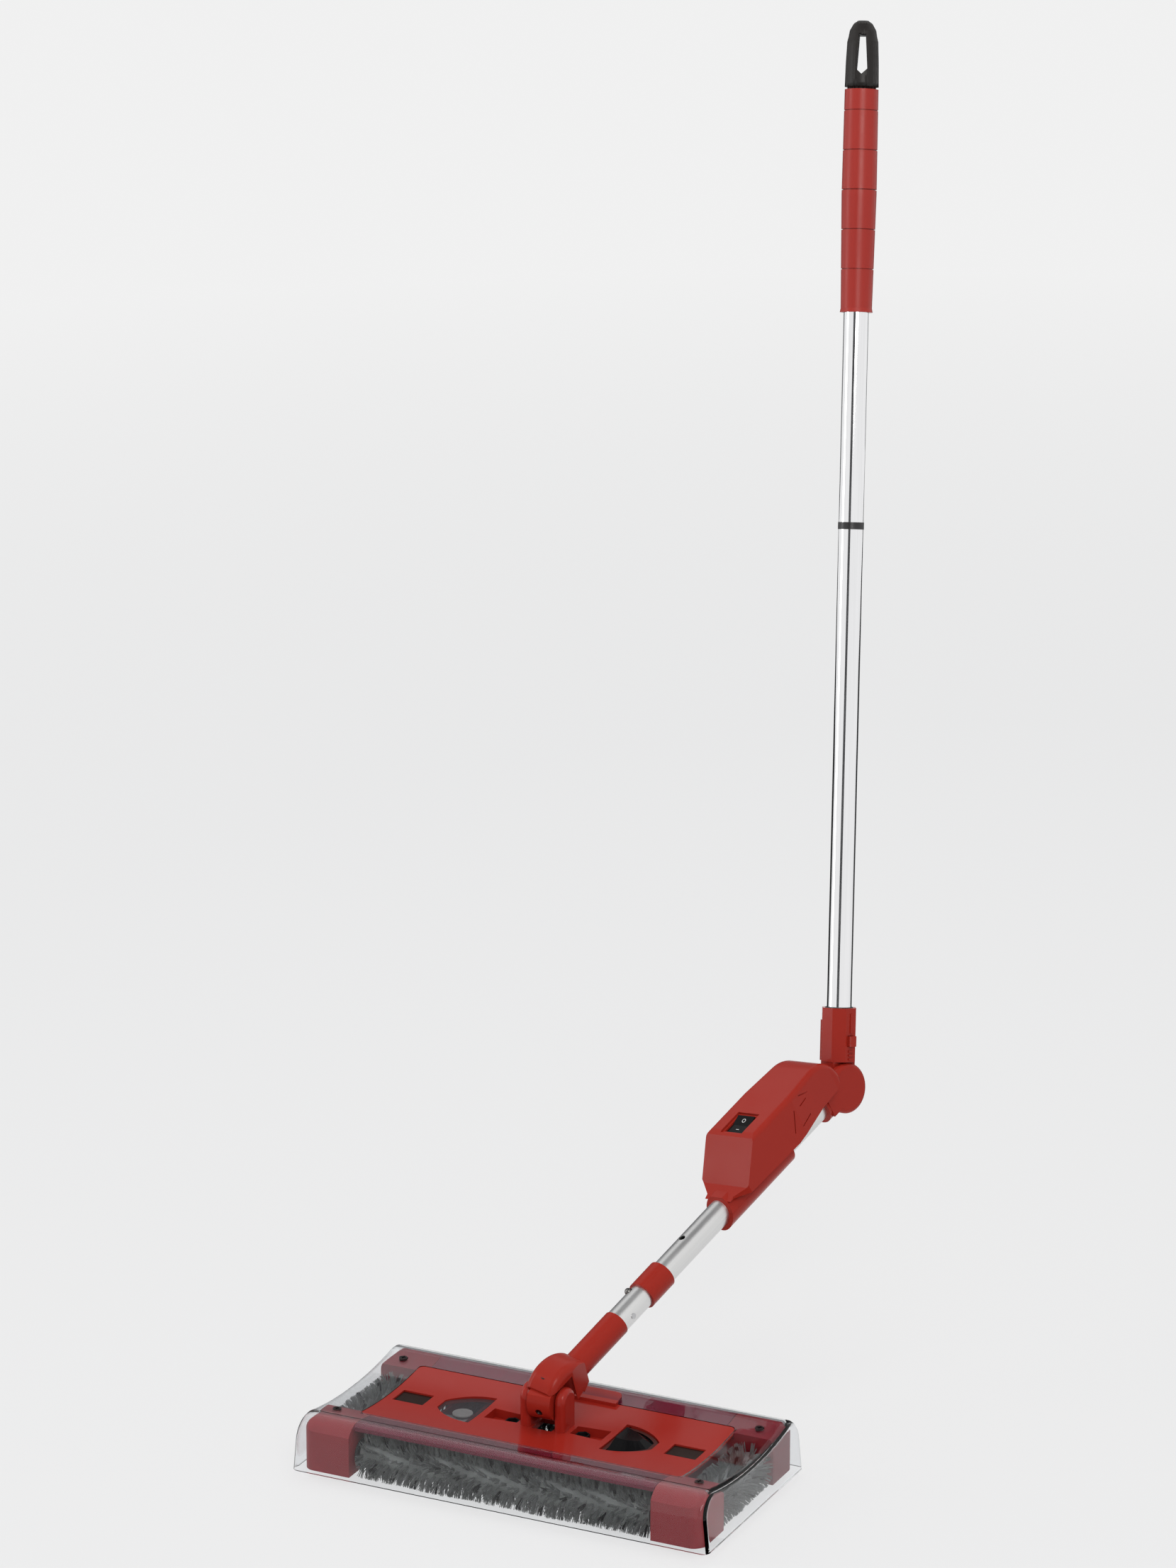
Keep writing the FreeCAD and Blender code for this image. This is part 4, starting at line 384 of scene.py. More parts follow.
# %% Shared effect: fine scratches
def make_fine_scratches():
    """Hair-fine scratches in two directions, as clear surfaces gather."""
    group, entry, leave = group_of(
        "fine_scratches", [("Vector", "NodeSocketVector", None), ("Amount", "NodeSocketFloat", 0.5)],
        [("Mask", "NodeSocketFloat")])
    masks = []
    for turn, stretch in ((0.5, (14, 320, 14)), (-0.9, (300, 16, 16))):
        mapping = group.nodes.new("ShaderNodeMapping")
        set_sockets(mapping, Rotation=(0, 0, turn), Scale=stretch)
        wire(group, entry.outputs["Vector"], mapping.inputs["Vector"])
        masks.append(spread(group, noise_at(group, mapping.outputs["Vector"], 2.0, 2.0), 0.66, 0.74))
    both = math_of(group, "MAXIMUM", *masks)
    wire(group, math_of(group, "MULTIPLY", both, entry.outputs["Amount"]), leave.inputs["Mask"])
    return group


fine_scratches = make_fine_scratches()
print(fine_scratches.name, "has", len(fine_scratches.nodes), "nodes")

# %% [markdown]
# ## Finishes
#
# Each finish starts from the same few lines: object coordinates, one or two shared effects, and a Principled
# shader that is told which numbers hold all over the surface. What differs is what the real finish does to
# light.

# %% A finish's starting point
GRAIN_DEPTH = 0.00002


def finish_start(name, specular=0.5, **fixed):
    """A material with object coordinates. Fixed values are set on the shader's own sockets."""
    material = bpy.data.materials.new(name)
    material.use_nodes = True
    tree = material.node_tree
    shader = tree.nodes["Principled BSDF"]
    set_sockets(shader, Specular_IOR_Level=specular, **fixed)
    coordinates = tree.nodes.new("ShaderNodeTexCoord")
    return material, tree, shader, coordinates.outputs["Object"]


def place_group(tree, group, vector, **values):
    node = tree.nodes.new("ShaderNodeGroup")
    node.node_tree = group
    wire(tree, vector, node.inputs["Vector"])
    set_sockets(node, **values)
    return node


def bump_from(tree, shader, height, distance):
    bump = tree.nodes.new("ShaderNodeBump")
    set_sockets(bump, Distance=distance, Strength=1.0)
    wire(tree, height, bump.inputs["Height"])
    wire(tree, bump.outputs["Normal"], shader.inputs["Normal"])


def moulded(name, dark, light, rough, grain=900.0, drift=1.0, specular=0.5):
    """Moulded plastic: two near tones, gloss that wears in patches, and a fine grain."""
    material, tree, shader, vector = finish_start(name, specular=specular)
    skin = place_group(tree, moulded_skin, vector, Drift=drift, Grain_Scale=grain)
    wire(tree, blend_colours(tree, skin.outputs["Shade"], dark, light), shader.inputs["Base Color"])
    wire(tree, spread(tree, skin.outputs["Gloss Wear"], 0.0, 1.0, *rough), shader.inputs["Roughness"])
    bump_from(tree, shader, skin.outputs["Grain"], GRAIN_DEPTH)
    return material


print("grain is", GRAIN_DEPTH / mm, "mm deep")

# %% [markdown]
# ### Plastics
#
# The mouldings are one red, but they don't look like one red. What stands in the open is bright and glossy.
# The gearboxes lie under the cover, which takes light away twice, so they get darker copies of the red, which
# are painted shade, and more matt; the two in front get less painted shade than those at the back.

# %% The plastics
red = moulded("red_moulding", (0.325, 0.020, 0.012), (0.40, 0.028, 0.016), rough=(0.2, 0.27),
              specular=0.13, drift=0.7)
# Painted shade: darker copies of the red for what lies under the cover, a little less of it in front.
red_in_painted_shade = moulded("red_in_painted_shade", (0.13, 0.012, 0.018), (0.175, 0.018, 0.027), rough=(0.42, 0.5),
                      specular=0.12)
red_in_less_painted_shade = moulded("near_gearbox_painted_shade", (0.21, 0.030, 0.034), (0.27, 0.040, 0.044), rough=(0.34, 0.42),
                   specular=0.2)
red_grip = moulded("grip_moulding", (0.36, 0.026, 0.018), (0.43, 0.036, 0.025), rough=(0.3, 0.4),
                   grain=1400.0, specular=0.3)
black = moulded("black_moulding", (0.012, 0.012, 0.013), (0.022, 0.021, 0.021), rough=(0.28, 0.42))
black_gloss = moulded("black_gloss", (0.005, 0.005, 0.006), (0.008, 0.008, 0.008), rough=(0.1, 0.16),
                      specular=0.06)
dark_rim = moulded("dark_rim", (0.055, 0.012, 0.010), (0.075, 0.018, 0.014), rough=(0.4, 0.5),
                   specular=0.15)
white_print = moulded("white_print", (0.66, 0.66, 0.64), (0.78, 0.78, 0.76), rough=(0.4, 0.5))
cap_grey = moulded("cap_moulding", (0.014, 0.012, 0.011), (0.022, 0.019, 0.017), rough=(0.38, 0.5),
                   specular=0.25)
grey = moulded("grey_moulding", (0.12, 0.125, 0.125), (0.17, 0.175, 0.175), rough=(0.4, 0.55))
natural = moulded("gear_nylon", (0.62, 0.61, 0.56), (0.74, 0.73, 0.68), rough=(0.35, 0.5))
rubber = moulded("belt_rubber", (0.012, 0.012, 0.012), (0.024, 0.024, 0.024), rough=(0.6, 0.8),
                 grain=2200.0)
wrap = moulded("battery_wrap", (0.05, 0.11, 0.07), (0.07, 0.15, 0.10), rough=(0.2, 0.35))
print("plastics:", [m.name for m in (red, red_in_painted_shade, red_in_less_painted_shade, red_grip, black, black_gloss, dark_rim,
                                     white_print, cap_grey, grey, natural, rubber, wrap)])

# %% [markdown]
# ### Top plate
#
# The top plate fills the opening of the cover and runs on under it. What lies under the cover gets its light
# through tinted plastic, so painted shade turns the red to a deep purple beyond the opening's edge. Only what
# lies low takes the painted shade: the ears of the joint stand above the cover.

# %% The top plate
OPENING = {"X": 0.1294, "Y": 0.0479}
EDGE = 0.0012
UNDER_COVER, ABOVE_COVER = 0.046, 0.049


def plate_finish():
    """The red of the mouldings, with painted shade that turns it darker and cooler where the cover lies over
    the plate.
    """
    material, tree, shader, vector = finish_start("plate_moulding", specular=0.2)
    skin = place_group(tree, moulded_skin, vector, Drift=0.6)
    open_red = blend_colours(tree, skin.outputs["Shade"], (0.33, 0.019, 0.012), (0.40, 0.025, 0.015))
    split = tree.nodes.new("ShaderNodeSeparateXYZ")
    wire(tree, vector, split.inputs[0])
    beyond = [spread(tree, math_of(tree, "ABSOLUTE", split.outputs[axis], 0), edge, edge + EDGE)
              for axis, edge in OPENING.items()]
    low = spread(tree, split.outputs["Z"], UNDER_COVER, ABOVE_COVER, 1.0, 0.0)
    # Painted shade: a mask beyond the opening and below the cover's height, which turns the red purple.
    painted_cover_shade = math_of(tree, "MULTIPLY", math_of(tree, "MAXIMUM", *beyond), low)
    wire(tree, blend_colours(tree, painted_cover_shade, open_red, (0.115, 0.010, 0.024)), shader.inputs["Base Color"])
    wire(tree, spread(tree, skin.outputs["Gloss Wear"], 0.0, 1.0, 0.19, 0.24), shader.inputs["Roughness"])
    bump_from(tree, shader, skin.outputs["Grain"], GRAIN_DEPTH)
    return material


plate_red = plate_finish()
print(plate_red.name, "turns at", [round(edge / mm, 1) for edge in OPENING.values()], "mm")

# %% [markdown]
# ### Clear cover and windows
#
# The clear cover is the hardest finish here. It is real clear plastic: it bends light at both faces of its
# wall, mirrors more at low angles, and its edges gather light. Lamps would leave the brushes inside it dark,
# because a lamp's light doesn't find its way through bending faces, so rays towards lamps pass straight
# through, weakened by about a third. A low index keeps the mirrored light on its broad faces faint.
#
# The windows in the plate are simpler: see-through skins that close up at low angles. The smoked ones hide
# nearly all that is under them, and the grey one over the motor is misty.


# %% The clear cover and the windows
def clear_moulding(name, tint, through, rough):
    """Clear plastic that bends and mirrors light, and lets lamps through to what it covers."""
    material, tree, shader, vector = finish_start(name, Transmission_Weight=1.0, IOR=1.3)
    scratches = place_group(tree, fine_scratches, vector, Amount=0.5)
    skin = place_group(tree, moulded_skin, vector, Drift=1.0, Grain_Scale=60.0)
    wire(tree, blend_colours(tree, skin.outputs["Shade"], tint, tuple(0.96 * c for c in tint)),
         shader.inputs["Base Color"])
    wire(tree, spread(tree, scratches.outputs["Mask"], 0.0, 1.0, rough, rough + 0.12),
         shader.inputs["Roughness"])
    passed = tree.nodes.new("ShaderNodeBsdfTransparent")
    set_sockets(passed, Color=(*through, 1))
    path = tree.nodes.new("ShaderNodeLightPath")
    wire(tree, either_shader(tree, path.outputs["Is Shadow Ray"], shader.outputs[0], passed.outputs[0]),
         tree.nodes["Material Output"].inputs["Surface"])
    return material


def window_plastic(name, tint, clear, glancing, rough):
    """Dark see-through plastic, which lets less through at low angles."""
    material, tree, shader, vector = finish_start(name, specular=0.12)
    skin = place_group(tree, moulded_skin, vector, Drift=1.4, Grain_Scale=60.0)
    wire(tree, blend_colours(tree, skin.outputs["Shade"], tint, tuple(0.9 * c for c in tint)),
         shader.inputs["Base Color"])
    facing = tree.nodes.new("ShaderNodeLayerWeight")
    set_sockets(facing, Blend=0.28)
    wire(tree, spread(tree, facing.outputs["Facing"], 0.0, 1.0, clear, glancing), shader.inputs["Alpha"])
    wire(tree, spread(tree, skin.outputs["Gloss Wear"], 0.0, 1.0, rough, rough + 0.06),
         shader.inputs["Roughness"])
    return material


clear = clear_moulding("clear_cover_plastic", tint=(0.93, 0.94, 0.95), through=(0.66, 0.64, 0.72),
                       rough=0.015)
smoked = window_plastic("smoked_window", tint=(0.024, 0.010, 0.007), clear=0.92, glancing=0.98, rough=0.18)
frosted = window_plastic("grey_window", tint=(0.085, 0.078, 0.085), clear=0.22, glancing=0.62, rough=0.1)
print("see-through:", [m.name for m in (clear, smoked, frosted)])

# %% [markdown]
# ### Metals
#
# Metals need two things: a colour that is only reflection, and a surface with the right direction. The lower
# tube is drawn aluminium, satin along its length; the upper tubes are polished like chrome. Noise that is
# stretched along the tube makes the draw marks, which are very shallow on the tubes and deeper on the turned
# screws, pins and shafts.

# %% The metals
DRAW_STRETCH = 60.0
TUBE_MARKS, TURNED_MARKS = 0.0000003, 0.000008
LOWER_WAY = (0.2334, 0.8890, 0.3939)
UPPER_WAY = (-0.0965, 0.2500, 0.9634)


def along_way(tree, vector, way, stretch):
    """Coordinates that are stretched along a direction, for draw marks."""
    mapping = tree.nodes.new("ShaderNodeMapping")
    mapping.vector_type = "TEXTURE"
    set_sockets(mapping, Rotation=Vector(way).to_track_quat("Y", "Z").to_euler(), Scale=(1, stretch, 1))
    wire(tree, vector, mapping.inputs["Vector"])
    return mapping.outputs["Vector"]


def drawn_metal(name, tone, rough, way=(1, 0, 0), marks=TURNED_MARKS):
    """Bare metal with marks along one direction and gloss that varies in spots."""
    material, tree, shader, vector = finish_start(name, Metallic=1.0)
    drawn = noise_at(tree, along_way(tree, vector, way, DRAW_STRETCH), 700.0, 3.0)
    wire(tree, blend_colours(tree, spread(tree, drawn, 0.35, 0.65), tuple(0.96 * t for t in tone), tone),
         shader.inputs["Base Color"])
    spots = noise_at(tree, vector, 30.0, 4.0)
    wire(tree, spread(tree, spots, 0.35, 0.7, *rough), shader.inputs["Roughness"])
    bump_from(tree, shader, drawn, marks)
    return material


satin = drawn_metal("drawn_aluminium", (0.74, 0.74, 0.735), (0.32, 0.37), LOWER_WAY, TUBE_MARKS)
polished = drawn_metal("polished_tube", (0.93, 0.93, 0.94), (0.03, 0.06), UPPER_WAY, TUBE_MARKS)
dark_steel = drawn_metal("dark_screws", (0.07, 0.055, 0.055), (0.3, 0.4))
button_steel = drawn_metal("button_steel", (0.16, 0.155, 0.15), (0.2, 0.3))
steel = drawn_metal("turned_steel", (0.55, 0.55, 0.56), (0.18, 0.3))
bronze = drawn_metal("bush_bronze", (0.55, 0.38, 0.18), (0.3, 0.45))
print("metals:", [m.name for m in (satin, polished, dark_steel, button_steel, steel, bronze)])

# %% [markdown]
# ### Every CAD part gets its finish
#
# A table from part to finish keeps this in one place. What it leaves out is nylon if it is a gear, and
# turned steel if it is a shaft, the motor, the rivet or the pin of the elbow.

# %% Finishes of the CAD parts
FINISH = {
    "clear_cover": clear, "tray_windows": smoked, "motor_window": frosted, "top_plate": plate_red,
    "swivel_fork": red, "tube_collar": red, "battery_housing": red, "housing_clasp": red,
    "elbow_cheeks": red, "elbow_knuckle": red, "elbow_latch": red, "joint_block": red,
    "switch_frame": red, "grip": red_grip, "hanging_cap": cap_grey,
    # The gearboxes and the lower frame take the red with painted shade.
    "gearbox_front_left": red_in_less_painted_shade, "gearbox_front_right": red_in_less_painted_shade,
    "gearbox_back_left": red_in_painted_shade, "gearbox_back_right": red_in_painted_shade, "lower_frame": red_in_painted_shade,
    "release_pedal": black_gloss, "rocker": black_gloss, "motor_pulley": black, "brush_pulley": black,
    "joint_ring": black, "floor_glides": black, "dirt_tray": grey,
    "front_brush": grey, "back_brush": grey, "left_brush": grey, "right_brush": grey,
    "stub_tube": satin, "lower_tube": satin, "joining_sleeve": satin,
    "upper_tube": polished, "top_tube": polished, "snap_button": button_steel,
    "corner_screws": dark_steel, "swivel_pins": dark_steel, "tilt_pin": dark_steel,
    "drive_belt": rubber, "battery_pack": wrap, "shaft_bushes": bronze,
}
for name, node in nodes.items():
    node.data.materials.clear()
    node.data.materials.append(FINISH.get(name, natural if "gear" in name else steel))
print("turned steel or nylon:", sorted(set(nodes) - set(FINISH)))

# %% [markdown]
# ## Brushes
#
# A CAD tuft is a solid wedge, which is right for weight and for clearance but not for the eye. A real brush
# is a core with rows of drilled holes, and each hole holds a bundle of bristles, folded in the middle and
# stapled. A few bundles are modelled: a thin cone stretched to a bristle, leaned and copied. They are then
# copied along the rows. Shorter bundles fill the brush all round, and four rows of longer ones wind round it
# and reach nearly to the floor. Every third long bundle is of stiffer black nylon.


# %% Helpers for the bristles
def joined_copies(name, source, places):
    """Copies a small model to each place and joins the copies to one piece."""
    deselect_all()
    for place in places:
        copy = bpy.data.objects.new(name, source.data.copy())
        copy.data.transform(place)
        bpy.context.collection.objects.link(copy)
        copy.select_set(True)
    bpy.context.view_layer.objects.active = copy
    bpy.ops.object.join()
    bpy.context.object.name = name
    return bpy.context.object


def bristle_material(name, root, tip):
    """Nylon bristles, a little paler where dust lies on them."""
    material, tree, shader, vector = finish_start(name, specular=0.3, Roughness=0.5)
    skin = place_group(tree, moulded_skin, vector, Drift=1.0, Grain_Scale=500.0)
    dust = noise_at(tree, vector, 55.0, 3.0)
    middle = tuple((a + b) / 2 for a, b in zip(root, tip))
    tone = blend_colours(tree, spread(tree, dust, 0.4, 0.62), root, tip)
    wire(tree, blend_colours(tree, skin.outputs["Shade"], tone, middle), shader.inputs["Base Color"])
    return material


bristle_grey = bristle_material("bristle_nylon", root=(0.11, 0.117, 0.11), tip=(0.23, 0.245, 0.23))
bristle_black = bristle_material("stiff_bristles", root=(0.008, 0.008, 0.008), tip=(0.025, 0.026, 0.025))
print("bristles:", bristle_grey.name, bristle_black.name)

# %% Bundles of bristles
BUNDLE_FOOT, FILL_REACH, LONG_REACH = 9.4 * mm, 19.0 * mm, 19.6 * mm
BRISTLE_ROOT, BRISTLE_TIP = 0.34 * mm, 0.2 * mm
SHORTEST = 0.93


def bristle_bundle(name, reach, count, fan, seed, finish):
    """Bristles that leave one hole in the core and fan out, along +Z."""
    chance = random.Random(seed)
    deselect_all()
    bpy.ops.mesh.primitive_cone_add(vertices=3, radius1=BRISTLE_ROOT, radius2=BRISTLE_TIP,
                                    depth=reach - BUNDLE_FOOT, location=(0, 0, 0))
    strand = bpy.context.object
    strand.data.materials.append(finish)
    strand.data.transform(Matrix.Translation((0, 0, (reach - BUNDLE_FOOT) / 2)))
    places = []
    for _ in range(count):
        lean = Matrix.Rotation(chance.uniform(-fan, fan), 4, "X") @ Matrix.Rotation(
            chance.uniform(-fan, fan), 4, "Y")
        size = Matrix.Scale(chance.uniform(SHORTEST, 1.0), 4, (0, 0, 1))
        start = Matrix.Translation((chance.uniform(-1, 1) * mm, chance.uniform(-1, 1) * mm, BUNDLE_FOOT))
        places.append(start @ lean @ size @ Matrix.Rotation(chance.uniform(0, 2), 4, "Z"))
    bundle = joined_copies(name, strand, places)
    bpy.data.objects.remove(strand)
    return bundle


fill_bundles = [bristle_bundle(f"fill_bundle_{i}", FILL_REACH, 10, 0.15, 20 + i, bristle_grey)
                for i in range(3)]
reach_bundles = [bristle_bundle(f"reach_bundle_{i}", LONG_REACH, 12, 0.14, 40 + i, finish)
                 for i, finish in enumerate((bristle_grey, bristle_grey, bristle_black))]
print("a long bundle has", len(reach_bundles[0].data.polygons), "faces")

# %% The four brushes
LONG_HALF, SIDE_HALF = 116.5 * mm, 38.6 * mm
CORE_RADIUS, HOLE_STEP = 10 * mm, 5.2 * mm
LONG_ROWS, FILL_ROWS = 4, 12


def dressed_brush(node_name, unit, along_x, half, turns):
    """A core with bundles all round it, in place of the CAD brush and turning with its unit."""
    low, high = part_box(node_name)
    centre = (Vector(low) + Vector(high)) / 2
    stand = Matrix.Rotation(math.pi / 2, 4, "Y") if along_x else Matrix.Rotation(-math.pi / 2, 4, "X")
    chance = random.Random(len(node_name) + int(centre.y * 1000))
    count = int(2 * half / HOLE_STEP)
    parts = []
    for bundles, rows, phase in ((fill_bundles, FILL_ROWS, 0.5), (reach_bundles, LONG_ROWS, 0.0)):
        places = [[] for _ in bundles]
        for row in range(rows):
            for i in range(count):
                share = (i + 0.5 + chance.uniform(-0.2, 0.2)) / count
                angle = 2 * math.pi * ((row + phase) / rows + turns * share)
                angle += chance.uniform(-0.03, 0.03)
                out = Matrix.Translation((0, 0, -half + 2 * half * share)) @ Matrix.Rotation(
                    angle, 4, "Z") @ Matrix.Rotation(math.pi / 2, 4, "Y")
                places[(row + i) % len(bundles)].append(Matrix.Translation(centre) @ stand @ out)
        for bundle, spots in zip(bundles, places):
            parts.append(joined_copies(f"{node_name}_rows", bundle, spots))
    deselect_all()
    bpy.ops.mesh.primitive_cylinder_add(vertices=40, radius=CORE_RADIUS, depth=2 * half)
    core = bpy.context.object
    core.data.materials.append(bristle_grey)
    core.data.transform(Matrix.Translation(centre) @ stand)
    for part in parts:
        part.select_set(True)
    bpy.ops.object.join()
    core.name = node_name + "_bristles"
    bpy.ops.object.shade_smooth_by_angle(angle=0.7)
    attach(core, unit)
    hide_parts(node_name)
    print(core.name, len(core.data.polygons), "faces,", [m.name for m in core.data.materials])
    return core


dressed_brush("front_brush", "front_brush_unit", True, LONG_HALF, turns=0.65)
dressed_brush("back_brush", "back_brush_unit", True, LONG_HALF, turns=-0.65)
dressed_brush("left_brush", "left_brush_unit", False, SIDE_HALF, turns=0.35)
dressed_brush("right_brush", "right_brush_unit", False, SIDE_HALF, turns=-0.35)
for model in fill_bundles + reach_bundles:
    bpy.data.objects.remove(model)

# %% [markdown]
# ## Foot pedal
#
# The pedal is a leaf-shaped rim with a raised pad, cut in flat facets so that a foot finds it. It starts as
# a disc whose edge is drawn to the leaf's two arcs, and then a few moves shape it as by hand: extrude, inset,
# extrude. The pad is drawn in towards its top, and its top is lowered towards the tip.

# %% The leaf's outline, in millimetres
LEAF_BASE, LEAF_TIP = 53.6, 86.2
ARC_BASE, LEAF_HALF, LEAF_REACH, LEAF_GAP = 53.0, 24.0, 38.0, 0.7
LEAF_STEPS = 9


def leaf_edge(x):
    """Half the leaf's width at a distance along it."""
    off_centre = (LEAF_REACH ** 2 - LEAF_HALF ** 2) / (2 * LEAF_HALF)
    radius = LEAF_HALF + off_centre - LEAF_GAP
    return math.sqrt(radius ** 2 - (x - ARC_BASE) ** 2) - off_centre


def leaf_outline(steps):
    """The leaf's corners, counter-clockwise from its tip."""
    stations = [LEAF_BASE + (LEAF_TIP - LEAF_BASE) * i / steps for i in range(steps + 1)]
    rear = [(x, leaf_edge(x)) for x in reversed(stations)]
    return rear + [(x, -y) for x, y in reversed(rear)]


leaf = leaf_outline(LEAF_STEPS)
print("leaf:", len(leaf), "corners, widest", round(2 * leaf_edge(LEAF_BASE), 1), "mm")

# %% The pedal's rim and pad
PEDAL_FOOT, RIM_HEIGHT, RIM_WIDTH = 35.4, 4.4, 3.0
GROOVE_DEPTH, GROOVE_WIDTH = 1.2, 0.5
PAD_HEIGHT, PAD_DRAWN, PAD_MIDDLE = 7.6, (0.62, 0.5, 1), (64.0, 0, 46.2)
PAD_TOP, PAD_SLOPE, SLOPE_FROM = 45, 0.17, 60


def raise_top(height):
    bpy.ops.mesh.extrude_region_move(TRANSFORM_OT_translate={"value": (0, 0, height * mm)})


deselect_all()
bpy.ops.mesh.primitive_circle_add(vertices=len(leaf), fill_type="NGON", radius=mm)
pedal_pad = bpy.context.object
pedal_pad.name = "pedal_pad"
for vertex, (x, y) in zip(pedal_pad.data.vertices, leaf):
    vertex.co = (x * mm, y * mm, PEDAL_FOOT * mm)
bpy.ops.object.mode_set(mode="EDIT")
bpy.ops.mesh.select_all(action="SELECT")
raise_top(RIM_HEIGHT)
bpy.ops.mesh.inset(thickness=RIM_WIDTH * mm, depth=0)
raise_top(-GROOVE_DEPTH)
bpy.ops.mesh.inset(thickness=GROOVE_WIDTH * mm, depth=0)
raise_top(PAD_HEIGHT)
bpy.ops.transform.resize(value=PAD_DRAWN, center_override=[v * mm for v in PAD_MIDDLE])
bpy.ops.object.mode_set(mode="OBJECT")
for vertex in pedal_pad.data.vertices:
    if vertex.co.z > PAD_TOP * mm:
        vertex.co.z -= PAD_SLOPE * (vertex.co.x - SLOPE_FROM * mm)
print("pedal", [round(v / mm, 1) for v in pedal_pad.dimensions])

# %% Bevelled edges and two finishes
PEDAL_BEVEL = 0.35
RIM_TOP = (39.5, 39.9)
MERGE = 0.00001


def bevelled(piece, width, sharp_only=False):
    """Rounds a piece's edges by a width in millimetres."""
    bpy.ops.object.modifier_add(type="BEVEL")
    bevel = piece.modifiers[-1]
    bevel.width = width * mm
    bevel.segments = 2
    if sharp_only:
        bevel.limit_method = "ANGLE"
    bpy.ops.object.modifier_apply(modifier=bevel.name)


bevelled(pedal_pad, PEDAL_BEVEL, sharp_only=True)
bpy.ops.object.mode_set(mode="EDIT")
bpy.ops.mesh.select_all(action="SELECT")
bpy.ops.mesh.remove_doubles(threshold=MERGE)
bpy.ops.mesh.normals_make_consistent(inside=False)
bpy.ops.object.mode_set(mode="OBJECT")
pedal_pad.data.materials.append(black_gloss)
pedal_pad.data.materials.append(dark_rim)
for face in pedal_pad.data.polygons:
    if RIM_TOP[0] * mm < face.center.z < RIM_TOP[1] * mm and face.normal.z > 0.9:
        face.material_index = 1
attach(pedal_pad, "pedal")
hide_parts("release_pedal")
print("rim faces:", sum(face.material_index for face in pedal_pad.data.polygons))

# %% [markdown]
# ## Small pieces
#
# Each of the small pieces is shaped at the origin, where sizes are easy to read, and then settled: its place
# goes into its mesh, and it gets its name, finish and the body that it moves with. The pole leans, so
# what sits on it is placed in a frame of its own, with one axis along the tube.

# %% The frames of the leaning pole and the joint block
LEANING_X = (0.929882, -0.322554, 0.176856)
BLOCK_LEAN = math.radians(23.9)


def shift(x, y, z):
    """A move in millimetres."""
    return Matrix.Translation(Vector((x, y, z)) * mm)


def frame_of(origin, y_way, z_way):
    """A matrix from an origin in millimetres and the directions of its axes."""
    return shift(*origin) @ Matrix((LEANING_X, y_way, z_way)).transposed().to_4x4()


HOUSING = frame_of((0, 2.7428, 63.2154), (0.233445, 0.888993, 0.393947), (-0.284293, -0.325038, 0.901957))
UPPER = frame_of((85.0675, 326.6918, 206.7699), (-0.096505, 0.250029, 0.963417),
                 (-0.354974, -0.912932, 0.201369))
BLOCK = shift(0, 0, 62) @ Matrix.Rotation(BLOCK_LEAN, 4, "X")
print("elbow at", [round(v, 3) for v in UPPER.translation])


# %% Settling a piece
def settle(piece, name, place, body, finish):
    """Bakes a piece's place into its mesh and gives it its name, finish and body."""
    bpy.context.view_layer.update()
    piece.data.transform(place @ piece.matrix_world)
    piece.matrix_world = Matrix.Identity(4)
    piece.name = name
    piece.data.materials.clear()
    piece.data.materials.append(finish)
    deselect_all()
    piece.select_set(True)
    bpy.context.view_layer.objects.active = piece
    bpy.ops.object.shade_smooth_by_angle(angle=0.6)
    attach(piece, body)
    middle = sum((vertex.co for vertex in piece.data.vertices), Vector()) / len(piece.data.vertices)
    print(name, "round", [round(v, 3) for v in middle])


def inset_top(piece, steps):
    """Insets the top face in steps, each a width and a rise in millimetres."""
    bpy.ops.object.mode_set(mode="EDIT")
    bpy.ops.mesh.select_all(action="DESELECT")
    bpy.ops.mesh.select_mode(type="FACE")
    faces = bmesh.from_edit_mesh(piece.data)
    for face in faces.faces:
        face.select = face.normal.z > 0.9
    bmesh.update_edit_mesh(piece.data)
    for width, rise in steps:
        bpy.ops.mesh.inset(thickness=width * mm, depth=rise * mm)
    bpy.ops.object.mode_set(mode="OBJECT")


# %% [markdown]
# ### Rocker marks
#
# The rocker carries the two marks that switches have the world over, a bar for on and a ring for off. Each
# lies on its own half of the rocker, whose two halves slope towards the middle.

# %% Rocker marks
KEY = HOUSING @ shift(0, 265.8, 39) @ Matrix.Rotation(math.radians(8), 4, "X")
KEY_FACE, MARK_PLACE, HALF_SLOPE = 2.04, 4.6, 7.5
BAR_SIZE = (3.0, 0.55, 0.16)
RING_RADIUS, RING_WIRE, RING_FLATNESS = 1.5, 0.26, 0.35


def on_key(side):
    """The middle of one half of the rocker's face."""
    return KEY @ shift(0, side * MARK_PLACE, KEY_FACE) @ Matrix.Rotation(
        math.radians(side * HALF_SLOPE), 4, "X")


deselect_all()
bpy.ops.mesh.primitive_cube_add(size=1)
bpy.context.object.scale = [side * mm for side in BAR_SIZE]
settle(bpy.context.object, "rocker_mark_on", on_key(-1), "switch_rocker", white_print)
deselect_all()
bpy.ops.mesh.primitive_torus_add(major_radius=RING_RADIUS * mm, minor_radius=RING_WIRE * mm,
                                 major_segments=32, minor_segments=8)
bpy.context.object.scale = (1, 1, RING_FLATNESS)
settle(bpy.context.object, "rocker_mark_off", on_key(1), "switch_rocker", white_print)

# %% [markdown]
# ### Motor plate and the painted shade ring at the socket
#
# A round plate closes the motor's end under its grey window, and is what shows there as a pale disc. It is a
# flat cylinder whose top is inset four times, which leaves a raised rim and a raised middle. A dark ring sits
# in the rim of the elbow's socket, round the polished tube, as painted shade where the tube goes in.

